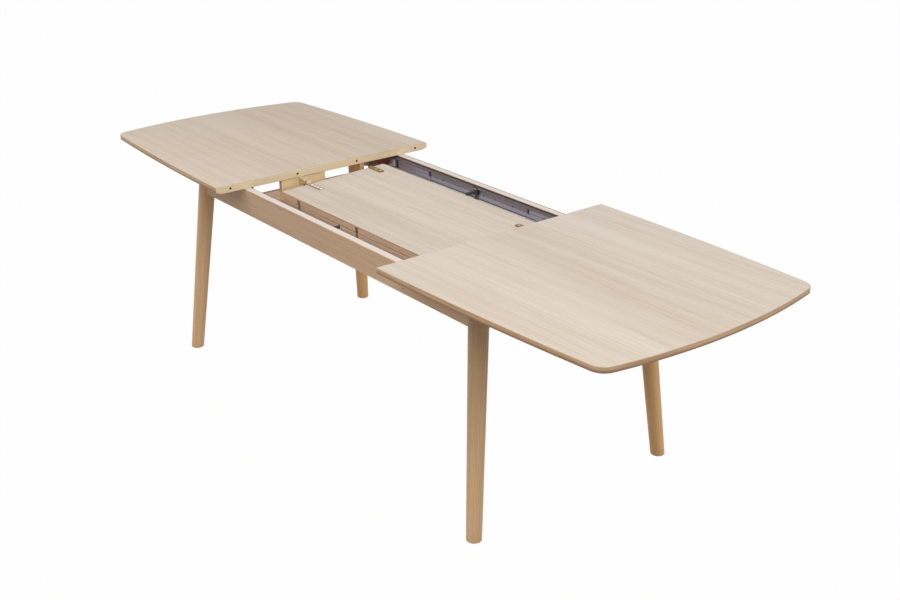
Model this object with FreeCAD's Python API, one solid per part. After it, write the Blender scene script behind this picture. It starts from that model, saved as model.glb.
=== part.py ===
import FreeCAD, Part
import math
import os

"""Extending dining table with a split sliding top and a folding leaf.

X runs along the table, Y from the front rail to the back rail, Z up.
The origin is on the floor under the middle of the table.
Both halves of the top are drawn pulled out, with the leaf folded in the well.
"""

V = FreeCAD.Vector

# ---- top halves and leaf ----
TABLE_H = 745.0
TOP_T = 25.0
TOP_LEN = 895.0
TOP_HALF_W = 450.0
SIDE_BOW = 37.5
END_BOW = 46.0
CORNER_R = 46.0
BEVEL_IN = 18.0
BEVEL_H = 8.0
EDGE_EASE = 2.5
SEAM_EASE = 0.8
SEAM_GAP = 0.2
LEAF_LEN = 826.0
FLIP_ROOM = 50.0
LEAF_CHAMFER = 2.0
FOLD_GAP = 0.3
STACK_GAP = 1.6

# ---- locating dowels between the top halves and the leaf ----
DOWEL_R = 4.0
DOWEL_OUT = 14.0
DOWEL_IN = 22.0
DOWEL_CLEAR = 0.5
DOWEL_FROM_FOLD = 127.0
DOWEL_FROM_SIDE = 55.0

# ---- legs ----
LEG_FROM_END = 135.0
LEG_FROM_SIDE = 130.0
SPLAY_X = 71.0
SPLAY_Y = 69.0
LEG_HEAD_R = 30.3
LEG_FOOT_R = 23.2
FOOT_EASE = 1.5
PAD_T = 3.0
PAD_R = 17.0

# ---- rails ----
RAIL_DROP = 1.0
RAIL_H = 90.0
RAIL_T = 28.0
RAIL_OUT = 8.0
RAIL_EASE = 1.5
TENON_T = 10.0
TENON_H = 60.0
TENON_DEPTH = 20.0
SCRIBE_IN = 10.0

# ---- corner blocks and their bolts ----
BLOCK_LEG = 98.0
BLOCK_T = 28.0
BLOCK_LIFT = 3.0
BOLT_R = 4.0
BOLT_HEAD_R = 7.5
BOLT_HEAD_T = 5.5
WASHER_R = 11.0
WASHER_T = 1.6
BOLT_BITE = 22.0

# ---- glides on the rail tops ----
GLIDE_R = 9.0
GLIDE_T = 0.7
SIDE_GLIDES_FROM_LEG = (60.0, 200.0)
END_GLIDE_FROM_LEG = 130.0

# ---- telescopic slides ----
FIXED_START = 12.0
MIDDLE_START = 30.0
INNER_START = 11.0
SLIDE_LEG_GAP = 1.2
SLIDE_H = 45.0
SLIDE_DROP = 7.0
SLIDE_W = 12.7
SHEET = 1.5
RUN_GAP = 0.6
LIP = 2.5
NECK_PROUD = 0.5
STOP_ROOT_W = 18.0
STOP_ROOT_D = 14.0
STOP_ROOT_H = 20.0
STOP_W = 9.0
STOP_H = 10.0
STOP_REACH = 52.0
STOP_DROP = 6.0
SCREWS_FROM_START = (22.0, 175.0)
SCREW_FROM_END = 60.0
SCREW_R = 2.0
SCREW_HEAD_R = 4.0
SCREW_LEN = 16.0

# ---- runners under the top halves ----
RUNNER_T = 20.0
RUNNER_H = 48.0
RUNNER_START = 45.0

# ---- cross members, pivot boards and rest posts ----
BOARD_PAST_TOP = 3.0
BOARD_T = 16.0
CROSS_T = 20.0
CROSS_DROP = 41.0
CROSS_UNDER_SLIDE = 5.0
CROSS_FROM_RUNNER = 10.8
BOARD_LIFT = 11.0
BOARD_UNDER_TOP = 2.0
BOARD_FRONT = 80.0
BOARD_BACK = 102.0
BOARD_R = 10.0
POST_W = 18.0
POST_SEAT = 0.2

# ---- leaf pivot ----
PIVOT_SHIFT = 0.5
PIVOT_BELOW = 8.0
TILT = 2.5
PIN_R = 4.0
PIN_CLEAR = 0.05
PLATE_T = 3.0
PLATE_W = 20.0
PLATE_H = 27.0
STRAP_LENS = {"left": 84.0, "right": 32.0}
STRAP_SCREW_STEP = 18.0
STRAP_W = 20.0
STRAP_T = 3.0
LUG_T = 5.0
LUG_GAP = 1.0
LUG_R = 6.5
REST_FROM_SIDE = 74.0
REST_W = 12.0
REST_LENS = {"left": 75.0, "right": 30.0}
REST_SCREWS = {"left": 2, "right": 1}
REST_SCREW_STEP = 25.0
REST_PAST_LEAF = 8.0
REST_PEG_R = 3.0
REST_PEG_DROP = 26.0
REST_PEG_IN = 12.0
STRAP_SCREW_R = 3.6
STRAP_SCREW_T = 1.2
STRAP_SCREWS = {"left": 4, "right": 1}

# ---- two-pin leaf hinges ----
HINGE_FROM_LEFT = 105.0
HINGE_FROM_RIGHT = 33.0
HINGES = 3
HINGE_W = 16.0
HINGE_D = 22.0
HINGE_H = 20.0
LINK_PIN_Z = 5.0
LINK_PIN_R = 1.5
LINK_R = 3.0
LINK_T = 6.0
LINK_CLEAR = 0.3
LINK_SWING_CLEAR = 0.5

# ---- sides given to repeated rounds ----
LEG_SIDES = 40
PEG_SIDES = 12
SCREW_SIDES = 8

# ---- sizes that follow ----
TOP_LOW = TABLE_H - TOP_T
LEAF_END = LEAF_LEN / 2
OPEN_TRAVEL = LEAF_END + FLIP_ROOM
MID_TRAVEL = OPEN_TRAVEL / 2
RAIL_TOP = TOP_LOW - RAIL_DROP
RAIL_LOW = RAIL_TOP - RAIL_H
LEG_HEAD = V(TOP_LEN - LEG_FROM_END, TOP_HALF_W - LEG_FROM_SIDE, TOP_LOW)
LEG_FOOT = V(LEG_HEAD.x + SPLAY_X, LEG_HEAD.y + SPLAY_Y, 0)
SIDE_RAIL_Y = LEG_HEAD.y + RAIL_OUT
END_RAIL_X = LEG_HEAD.x + RAIL_OUT
SIDE_RAIL_IN = SIDE_RAIL_Y - RAIL_T / 2
END_RAIL_IN = END_RAIL_X - RAIL_T / 2
SLIDE_TOP = RAIL_TOP - SLIDE_DROP
SLIDE_LOW = SLIDE_TOP - SLIDE_H
SLIDE_MID_Z = SLIDE_TOP - SLIDE_H / 2
RUNNER_OUT = SIDE_RAIL_IN - SLIDE_W - NECK_PROUD
DOWEL_YS = (DOWEL_FROM_FOLD, TOP_HALF_W - DOWEL_FROM_SIDE)
DOWEL_Z = TABLE_H - TOP_T / 2
BOARD_X = OPEN_TRAVEL + BOARD_PAST_TOP
BOARD_LOW = RAIL_LOW + BOARD_LIFT
BOARD_TOP = TOP_LOW - BOARD_UNDER_TOP
# the folded stack lies centred when its pivot is a quarter of the width in
PIVOT_Y = PIVOT_SHIFT - TOP_HALF_W / 4
PIVOT = V(0, PIVOT_Y, TOP_LOW - PIVOT_BELOW)
REST_Y = REST_FROM_SIDE - TOP_HALF_W
LINK_PIN_Y = LINK_PIN_Z + STACK_GAP / 2
HINGE_X0 = HINGE_FROM_LEFT - LEAF_END
HINGE_PITCH = (LEAF_LEN - HINGE_FROM_LEFT - HINGE_FROM_RIGHT) / (HINGES - 1)
ENDS = (-1, 1)
SIDES = {"left": -1, "right": 1}
FACES = {"front": -1, "back": 1}
X_AXIS = V(1, 0, 0)
HINGE_XS = [HINGE_X0 + HINGE_PITCH * i for i in range(HINGES)]


def box(x0, x1, y0, y1, z0, z1):
    """A block between two corners given in any order."""
    low = V(min(x0, x1), min(y0, y1), min(z0, z1))
    return Part.makeBox(abs(x1 - x0), abs(y1 - y0), abs(z1 - z0), low)


def rod(start, direction, length, radius):
    """A round bar from a start point."""
    return Part.makeCylinder(radius, length, start, direction)


def ring(centre, direction, radius, sides):
    """A regular outline about an axis, its flats clear of the radius."""
    way = V(direction).normalize()
    out = way.cross(V(0, 0, 1) if abs(way.z) < 0.9 else X_AXIS).normalize()
    out = out * (radius / math.cos(math.pi / sides))
    corners = []
    for i in range(sides):
        spin = FreeCAD.Rotation(way, 360.0 * i / sides)
        corners.append(centre + spin.multVec(out))
    return Part.makePolygon(corners + corners[:1])


def peg(start, direction, length, radius, sides=PEG_SIDES):
    """A small round bar drawn with a few flat sides."""
    way = V(direction).normalize()
    return Part.Face(ring(start, way, radius, sides)).extrude(way * length)


def fuse(shapes):
    """One solid made from touching or crossing shapes."""
    whole = shapes[0]
    for shape in shapes[1:]:
        whole = whole.fuse(shape)
    return whole.removeSplitter()


def group(shapes):
    """Separate solids kept together in one node."""
    solids = []
    for shape in shapes:
        solids.extend(shape.Solids)
    return Part.makeCompound(solids)


def mirrored(shape, sx, sy):
    """The shape in the quadrant given by the signs of X and Y."""
    result = shape
    if sx < 0:
        result = result.mirror(V(0, 0, 0), V(1, 0, 0))
    if sy < 0:
        result = result.mirror(V(0, 0, 0), V(0, 1, 0))
    return result


def turned(shape, centre, degrees):
    """The shape turned about an X-wise axis through a point."""
    result = shape.copy()
    result.rotate(centre, X_AXIS, degrees)
    return result


def prism_x(points, x0, x1):
    """A Y-Z outline drawn out along X."""
    corners = [V(x0, y, z) for y, z in points]
    face = Part.Face(Part.makePolygon(corners + corners[:1]))
    return face.extrude(V(x1 - x0, 0, 0))


def bow_radius(half_chord, bow):
    """Radius of the arc that rises by bow over half its chord."""
    return (half_chord ** 2 + bow ** 2) / (2 * bow)


def polar(centre, towards, distance):
    """The point at a distance from a centre along the line to another point."""
    return centre + (towards - centre).normalize() * distance


def arc(centre, start, end, radius):
    """A circular edge from start to end about a centre."""
    middle = polar(centre, (start + end) * 0.5, radius)
    return Part.Arc(start, middle, end).toShape()


# ---- top halves ----
def top_outline(inset, z):
    """The boat-shaped outline of the right half, drawn in by an inset."""
    chord = TOP_LEN - END_BOW
    side_r = bow_radius(chord, SIDE_BOW)
    side_c = V(0, TOP_HALF_W - side_r, 0)
    end_r = bow_radius(TOP_HALF_W - SIDE_BOW, END_BOW)
    end_c = V(TOP_LEN - end_r, 0, 0)
    # the corner's centre lies on both arcs drawn in by its radius
    r0 = side_r - CORNER_R
    r1 = end_r - CORNER_R
    gap = end_c - side_c
    along = (r0 ** 2 - r1 ** 2 + gap.Length ** 2) / (2 * gap.Length)
    across = math.sqrt(r0 ** 2 - along ** 2)
    way = V(gap).normalize()
    corner = side_c + way * along + V(way.y, -way.x, 0) * across
    seam = V(SEAM_GAP, side_c.y + math.sqrt((side_r - inset) ** 2 - SEAM_GAP ** 2), 0)
    side_end = polar(side_c, corner, side_r - inset)
    end_start = polar(end_c, corner, end_r - inset)
    flip = lambda p: V(p.x, -p.y, p.z)
    edges = [
        arc(side_c, seam, side_end, side_r - inset),
        arc(corner, side_end, end_start, CORNER_R - inset),
        arc(end_c, end_start, flip(end_start), end_r - inset),
        arc(flip(corner), flip(end_start), flip(side_end), CORNER_R - inset),
        arc(flip(side_c), flip(side_end), flip(seam), side_r - inset),
        Part.LineSegment(flip(seam), seam).toShape(),
    ]
    wire = Part.Wire(edges)
    wire.translate(V(0, 0, z))
    return wire


def top_panel():
    """The right half of the top, closed up to the seam."""
    rings = [
        top_outline(BEVEL_IN, TOP_LOW),
        top_outline(0, TOP_LOW + BEVEL_H),
        top_outline(0, TABLE_H - EDGE_EASE),
        top_outline(EDGE_EASE * (1 - math.sqrt(0.5)), TABLE_H - EDGE_EASE * (1 - math.sqrt(0.5))),
        top_outline(EDGE_EASE, TABLE_H),
    ]
    panel = Part.makeLoft(rings, True, True)
    ease = [
        V(0, -TOP_HALF_W, TABLE_H),
        V(SEAM_GAP + SEAM_EASE, -TOP_HALF_W, TABLE_H),
        V(0, -TOP_HALF_W, TABLE_H - SEAM_EASE - SEAM_GAP),
    ]
    wedge = Part.Face(Part.makePolygon(ease + ease[:1])).extrude(V(0, 2 * TOP_HALF_W, 0))
    return panel.cut(wedge)


def dowel_row(face_x, way, ys, radius, depth):
    """Bars at the dowel places, from an end face along X."""
    return [peg(V(face_x, y, DOWEL_Z), V(way, 0, 0), depth, radius) for y in ys]


def runner(y_sign):
    """Batten under the right half, carrying the inner slide member."""
    y0 = RUNNER_OUT
    body = box(RUNNER_START, inner_end(), y0, y0 - RUNNER_T, TOP_LOW, TOP_LOW - RUNNER_H)
    ends = [e for e in body.Edges if abs(e.BoundBox.ZMax - TOP_LOW + RUNNER_H) < 0.01]
    return mirrored(body.makeChamfer(RAIL_EASE, ends), 1, y_sign)


# ---- slides ----
def slide_end():
    """Outer end that lets the middle member stop just short of the leg."""
    leg_side = leg_axis_at(SLIDE_MID_Z).x - LEG_HEAD_R
    return leg_side - SLIDE_LEG_GAP - MID_TRAVEL


def inner_end():
    """Outer end of the short member that each top half carries."""
    return slide_end() - MID_TRAVEL


def channel(depth0, depth1, height, lip, x0, x1):
    """A lipped channel on the back rail's inner face, open to the middle."""
    h = height / 2
    points = [
        (depth0, -h),
        (depth1, -h),
        (depth1, -h + SHEET + lip),
        (depth1 - SHEET, -h + SHEET + lip),
        (depth1 - SHEET, -h + SHEET),
        (depth0 + SHEET, -h + SHEET),
    ]
    points += [(d, -z) for d, z in reversed(points)]
    outline = [(SIDE_RAIL_IN - d, SLIDE_MID_Z + z) for d, z in points]
    return prism_x(outline, x0, x1)


def mid_height():
    return SLIDE_H - 2 * SHEET - 2 * RUN_GAP


def inner_height():
    return mid_height() - 2 * SHEET - 2 * RUN_GAP


def fixed_member():
    return channel(0, SLIDE_W, SLIDE_H, LIP, FIXED_START, slide_end())


def mid_member():
    d0 = SHEET + RUN_GAP
    d1 = SLIDE_W - SHEET - RUN_GAP
    return channel(d0, d1, mid_height(), LIP, MIDDLE_START, slide_end())


def inner_member():
    """A hat section: flanges held by the middle member, crown on the runner."""
    d0 = 2 * (SHEET + RUN_GAP)
    d1 = SLIDE_W - 2 * (SHEET + RUN_GAP)
    crown = SLIDE_W + NECK_PROUD
    h = inner_height() / 2
    n = h - LIP - RUN_GAP
    points = [
        (d0, -h),
        (d1, -h),
        (d1, -n),
        (crown, -n),
        (crown, n),
        (d1, n),
        (d1, h),
        (d0, h),
        (d0, h - SHEET),
        (d1 - SHEET, h - SHEET),
        (d1 - SHEET, n - SHEET),
        (crown - SHEET, n - SHEET),
        (crown - SHEET, -n + SHEET),
        (d1 - SHEET, -n + SHEET),
        (d1 - SHEET, -h + SHEET),
        (d0, -h + SHEET),
    ]
    outline = [(SIDE_RAIL_IN - d, SLIDE_MID_Z + z) for d, z in points]
    return prism_x(outline, INNER_START, inner_end())


def slide_screw(x):
    """Countersunk screw through the fixed member into the back rail."""
    start = V(x, SIDE_RAIL_IN - SHEET, SLIDE_MID_Z)
    seat = V(x, SIDE_RAIL_IN, SLIDE_MID_Z)
    along = V(0, 1, 0)
    rims = [
        ring(start, along, SCREW_HEAD_R, SCREW_SIDES),
        ring(seat, along, SCREW_R, SCREW_SIDES),
    ]
    head = Part.makeLoft(rims, True, True)
    shank = peg(seat, along, SCREW_LEN - SHEET, SCREW_R, SCREW_SIDES)
    return head.fuse(shank).removeSplitter()


def screw_places():
    """Where the right fixed member's screws lie along it."""
    return [FIXED_START + x for x in SCREWS_FROM_START] + [slide_end() - SCREW_FROM_END]


def centre_stop():
    """Arm on the back rail that parts the left and right slides."""
    z1 = SLIDE_TOP - STOP_DROP
    y0 = SIDE_RAIL_IN
    half = STOP_ROOT_W / 2
    root = box(-half, half, y0, y0 - STOP_ROOT_D, z1 - STOP_ROOT_H, z1)
    z1 -= STOP_H / 2
    half = STOP_W / 2
    arm = box(-half, half, y0, y0 - STOP_REACH, z1 - STOP_H, z1)
    upright = [e for e in arm.Edges if e.BoundBox.ZLength > STOP_H - 0.01]
    tip = [e for e in upright if e.BoundBox.YMax < y0 - 0.01]
    return fuse([root, arm.makeChamfer(STOP_W / 3, tip)])


# ---- legs, rails and corner blocks ----
def leg_blank():
    """The splayed, tapered back right leg before its mortises."""
    rings = [
        leg_ring(PAD_T, FOOT_EASE),
        leg_ring(PAD_T + FOOT_EASE, 0),
        leg_ring(RAIL_TOP, 0),
    ]
    return Part.makeLoft(rings, True, True)


def leg_ring(z, inset):
    """The leg's level section, which grows from the foot to the head."""
    r = LEG_FOOT_R + (LEG_HEAD_R - LEG_FOOT_R) * z / LEG_HEAD.z
    return ring(leg_axis_at(z), V(0, 0, 1), r - inset, LEG_SIDES)


def rail_mid_z():
    return RAIL_TOP - RAIL_H / 2


def leg_axis_at(z):
    """Where the back right leg's axis crosses a level."""
    return LEG_FOOT + (LEG_HEAD - LEG_FOOT) * (z / LEG_HEAD.z)


def rail_reach():
    """How far the side and end rails' bodies run, to just inside the legs."""
    axis = leg_axis_at(rail_mid_z())
    return axis.x - LEG_HEAD_R + SCRIBE_IN, axis.y - LEG_HEAD_R + SCRIBE_IN


def side_rail_blank():
    x = rail_reach()[0]
    z = rail_mid_z()
    y0 = SIDE_RAIL_IN
    y1 = SIDE_RAIL_IN + RAIL_T
    body = box(-x, x, y0, y1, RAIL_LOW, RAIL_TOP)
    long_edges = [e for e in body.Edges if e.BoundBox.XLength > x]
    return body.makeChamfer(RAIL_EASE, long_edges), side_tenon()


def side_tenon():
    x = rail_reach()[0] - SCRIBE_IN + TENON_DEPTH
    z = rail_mid_z()
    half_t = TENON_T / 2
    half_h = TENON_H / 2
    return box(-x, x, SIDE_RAIL_Y - half_t, SIDE_RAIL_Y + half_t, z - half_h, z + half_h)


def end_rail_blank():
    y = rail_reach()[1]
    body = box(END_RAIL_IN, END_RAIL_IN + RAIL_T, -y, y, RAIL_LOW, RAIL_TOP)
    long_edges = [e for e in body.Edges if e.BoundBox.YLength > y]
    return body.makeChamfer(RAIL_EASE, long_edges), end_tenon()


def end_tenon():
    y = rail_reach()[1] - SCRIBE_IN + TENON_DEPTH
    z = rail_mid_z()
    half_t = TENON_T / 2
    half_h = TENON_H / 2
    return box(END_RAIL_X - half_t, END_RAIL_X + half_t, -y, y, z - half_h, z + half_h)


def block_mid_z():
    return RAIL_LOW + BLOCK_LIFT + BLOCK_T / 2


def bolt_start():
    """Middle of the back right block's slanting face."""
    return V(END_RAIL_IN - BLOCK_LEG / 2, SIDE_RAIL_IN - BLOCK_LEG / 2, block_mid_z())


def bolt_way():
    return V(1, 1, 0).normalize()


def bolt_length():
    """From the block's face to the bite inside the leg."""
    axis = leg_axis_at(block_mid_z())
    return (axis - bolt_start()).dot(bolt_way()) - LEG_HEAD_R + BOLT_BITE


def bolt_hole():
    return peg(bolt_start(), bolt_way(), bolt_length(), BOLT_R)


def corner_block_blank():
    """Three-cornered block between a side rail and an end rail."""
    z0 = RAIL_LOW + BLOCK_LIFT
    corners = [
        V(END_RAIL_IN - BLOCK_LEG, SIDE_RAIL_IN, z0),
        V(END_RAIL_IN, SIDE_RAIL_IN, z0),
        V(END_RAIL_IN, SIDE_RAIL_IN - BLOCK_LEG, z0),
    ]
    face = Part.Face(Part.makePolygon(corners + corners[:1]))
    return face.extrude(V(0, 0, BLOCK_T)).cut(bolt_hole())


def corner_bolt():
    """Hexagon bolt with a washer, through the block into the leg."""
    start = bolt_start()
    way = bolt_way()
    washer = peg(start, way * -1, WASHER_T, WASHER_R)
    head = peg(start - way * WASHER_T, way * -1, BOLT_HEAD_T, BOLT_HEAD_R, 6)
    return fuse([bolt_hole(), washer, head])


def foot_pad():
    """Glide under the leg, centred where the leg meets the floor."""
    axis = leg_axis_at(PAD_T)
    return rod(V(axis.x, axis.y, 0), V(0, 0, 1), PAD_T, PAD_R)


def rail_glides():
    """Low pads that the sliding halves ride on."""
    up = V(0, 0, 1)
    pads = []
    for sx in ENDS:
        for sy in ENDS:
            for back in SIDE_GLIDES_FROM_LEG:
                start = V(sx * (LEG_HEAD.x - back), sy * SIDE_RAIL_Y, RAIL_TOP)
                pads.append(peg(start, up, GLIDE_T, GLIDE_R))
            start = V(sx * END_RAIL_X, sy * (LEG_HEAD.y - END_GLIDE_FROM_LEG), RAIL_TOP)
            pads.append(peg(start, up, GLIDE_T, GLIDE_R))
    return pads


# ---- cross members that carry the leaf ----
def cross_member():
    """Board across the frame outside the leaf's right end, shouldered under the slides."""
    x0 = BOARD_X + BOARD_T
    y = SIDE_RAIL_IN
    s = RUNNER_OUT - RUNNER_T - CROSS_FROM_RUNNER
    top = TOP_LOW - CROSS_DROP
    shoulder = SLIDE_LOW - CROSS_UNDER_SLIDE
    outline = [
        (-y, RAIL_LOW),
        (y, RAIL_LOW),
        (y, shoulder),
        (s, shoulder),
        (s, top),
        (-s, top),
        (-s, shoulder),
        (-y, shoulder),
    ]
    return prism_x(outline, x0, x0 + CROSS_T)


def pivot_board():
    """Upright board on the right cross member that carries the pivot."""
    y0 = PIVOT_Y - BOARD_FRONT
    y1 = PIVOT_Y + BOARD_BACK
    body = box(BOARD_X, BOARD_X + BOARD_T, y0, y1, BOARD_LOW, BOARD_TOP)
    low = [
        e for e in body.Edges
        if e.BoundBox.XLength > BOARD_T - 0.01 and e.BoundBox.ZMax < BOARD_TOP - 0.01
    ]
    return body.makeFillet(BOARD_R, low)


def pivot_plate():
    """Steel plate with its pin, on the pivot board's inner face."""
    z1 = PIVOT.z + LUG_R
    y = PIVOT_Y
    x0 = BOARD_X - PLATE_T
    plate = box(x0, BOARD_X, y - PLATE_W / 2, y + PLATE_W / 2, z1 - PLATE_H, z1)
    pin = rod(V(LEAF_END + SEAM_GAP, y, PIVOT.z), X_AXIS, BOARD_X - LEAF_END - SEAM_GAP, PIN_R)
    return plate.fuse(pin).removeSplitter()


def rest_peg():
    """Bent steel peg that comes up under the rest strap of the folded leaf."""
    seat = stored_point(REST_Y, TOP_LOW + POST_SEAT)
    r = REST_PEG_R
    bend = V(LEAF_END + REST_PAST_LEAF / 2, seat.y, seat.z - REST_PEG_DROP)
    bar = peg(bend, X_AXIS, BOARD_X + REST_PEG_IN - bend.x, r)
    upright = peg(bend - V(0, 0, r), V(0, 0, 1), REST_PEG_DROP + r, r)
    return fuse([bar, upright])


def rest_post():
    """Post on the right cross member that holds the rest peg."""
    y = stored_point(REST_Y, TOP_LOW).y
    x1 = BOARD_X + BOARD_T
    post = box(BOARD_X, x1, y - POST_W / 2, y + POST_W / 2, BOARD_LOW, BOARD_TOP)
    return post.cut(rest_peg())


# ---- leaf ----
def stored(shape):
    """From the leaf's place in use to its folded place in the well."""
    return turned(shape, PIVOT, TILT - 180)


def stored_point(y, z):
    spin = FreeCAD.Rotation(X_AXIS, TILT - 180)
    return PIVOT + spin.multVec(V(0, y, z) - PIVOT)


def leaf_half():
    """Half of the leaf in use, on the back side of the fold."""
    w = TOP_HALF_W
    c = LEAF_CHAMFER
    f = FOLD_GAP
    e = EDGE_EASE
    points = [
        V(0, f, TOP_LOW),
        V(0, f, TABLE_H - c),
        V(0, f + c, TABLE_H),
        V(0, w - e, TABLE_H),
        V(0, w, TABLE_H - e),
        V(0, w, TOP_LOW + BEVEL_H),
        V(0, w - BEVEL_IN, TOP_LOW),
    ]
    edges = []
    for i, start in enumerate(points):
        end = points[(i + 1) % len(points)]
        if end.y == w and start.z == TABLE_H:
            edges.append(arc(V(0, w - e, TABLE_H - e), start, end, e))
        else:
            edges.append(Part.LineSegment(start, end).toShape())
    face = Part.Face(Part.Wire(edges))
    panel = face.extrude(V(LEAF_LEN, 0, 0))
    panel.translate(V(-LEAF_END, 0, 0))
    return panel


def hinge_plate(x):
    """Hinge block let into the back half's edge, slotted for the link."""
    c = LEAF_CHAMFER
    y0 = FOLD_GAP
    y1 = HINGE_D
    points = [
        (y0, TABLE_H - HINGE_H),
        (y0, TABLE_H - c),
        (y0 + c, TABLE_H),
        (y1, TABLE_H),
        (y1, TABLE_H - HINGE_H),
    ]
    block = prism_x(points, x - HINGE_W / 2, x + HINGE_W / 2)
    slot_r = LINK_R + LINK_SWING_CLEAR
    half = LINK_T / 2 + LINK_CLEAR
    pin_z = TABLE_H - LINK_PIN_Z
    slot = box(x - half, x + half, 0, LINK_PIN_Y + slot_r, pin_z - slot_r, TABLE_H)
    start = V(x - HINGE_W / 2, LINK_PIN_Y, pin_z)
    hole = peg(start, X_AXIS, HINGE_W, LINK_PIN_R + PIN_CLEAR)
    return block.cut(slot).cut(hole)


def hinge_pocket(x):
    """The room in the panel for a hinge block and its slot."""
    y1 = HINGE_D
    return box(x - HINGE_W / 2, x + HINGE_W / 2, 0, y1, TABLE_H - HINGE_H, TABLE_H)


def hinge_link(x):
    """Link with both pins, lying flat across the fold."""
    z = TABLE_H - LINK_PIN_Z
    y = LINK_PIN_Y
    start = x - LINK_T / 2
    bar = box(start, start + LINK_T, -y, y, z - LINK_R, z + LINK_R)
    parts = [bar]
    for side in ENDS:
        parts.append(peg(V(start, side * y, z), X_AXIS, LINK_T, LINK_R))
        parts.append(rod(V(x - HINGE_W / 2, side * y, z), X_AXIS, HINGE_W, LINK_PIN_R))
    return fuse(parts)


def strap_screw_at(x, y):
    start = V(x, y, TOP_LOW - STRAP_T)
    return peg(start, V(0, 0, -1), STRAP_SCREW_T, STRAP_SCREW_R, SCREW_SIDES)


def on_leaf(side, lengths):
    """Where a strap's inner tip lies under the leaf's end."""
    return LEAF_END - lengths[side]


def pivot_strap(side):
    """Strap under the front half's end, cranked into the pivot lug."""
    y = PIVOT_Y
    lug_x = LEAF_END + LUG_GAP
    end = lug_x + LUG_T
    low = TOP_LOW - STRAP_T
    x0 = on_leaf(side, STRAP_LENS)
    strap = box(x0, end, y - STRAP_W / 2, y + STRAP_W / 2, low, TOP_LOW)
    cheek = box(lug_x, end, y - LUG_R, y + LUG_R, PIVOT.z, TOP_LOW)
    eye = rod(V(lug_x, y, PIVOT.z), X_AXIS, LUG_T, LUG_R)
    hole = rod(V(lug_x, y, PIVOT.z), X_AXIS, LUG_T, PIN_R + PIN_CLEAR)
    corners = [e for e in strap.Edges if e.BoundBox.ZLength > STRAP_T - 0.01]
    tip = [e for e in corners if e.BoundBox.XMax < LEAF_END]
    strap = strap.makeChamfer(STRAP_W / 4, tip)
    return fuse([strap, cheek, eye]).cut(hole)


def rest_strap(side):
    """Narrow strap under the front half, reaching out over the rest peg."""
    low = TOP_LOW - STRAP_T
    x0 = on_leaf(side, REST_LENS)
    x1 = LEAF_END + REST_PAST_LEAF
    y = REST_Y
    bar = box(x0, x1, y - REST_W / 2, y + REST_W / 2, low, TOP_LOW)
    corners = [e for e in bar.Edges if e.BoundBox.ZLength > STRAP_T - 0.01]
    return bar.makeChamfer(REST_W / 4, corners)


def strap_screws(side):
    """Screw heads on the pivot strap and the rest strap at one end."""
    x0 = on_leaf(side, STRAP_LENS) + STRAP_SCREW_STEP / 2
    x1 = on_leaf(side, REST_LENS) + REST_SCREW_STEP / 2
    pivot = [strap_screw_at(x0 + STRAP_SCREW_STEP * i, PIVOT_Y) for i in range(STRAP_SCREWS[side])]
    rest = [strap_screw_at(x1 + REST_SCREW_STEP * i, REST_Y) for i in range(REST_SCREWS[side])]
    return pivot + rest


def folded(shape):
    """The back half and the links turned over on to the front half."""
    pin_z = TABLE_H - LINK_PIN_Z
    over = turned(shape, V(0, LINK_PIN_Y, pin_z), 90)
    return turned(over, V(0, -LINK_PIN_Y, pin_z), 90)


def half_folded(shape):
    """The links turned up about the front half's pins."""
    return turned(shape, V(0, -LINK_PIN_Y, TABLE_H - LINK_PIN_Z), 90)


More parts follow.
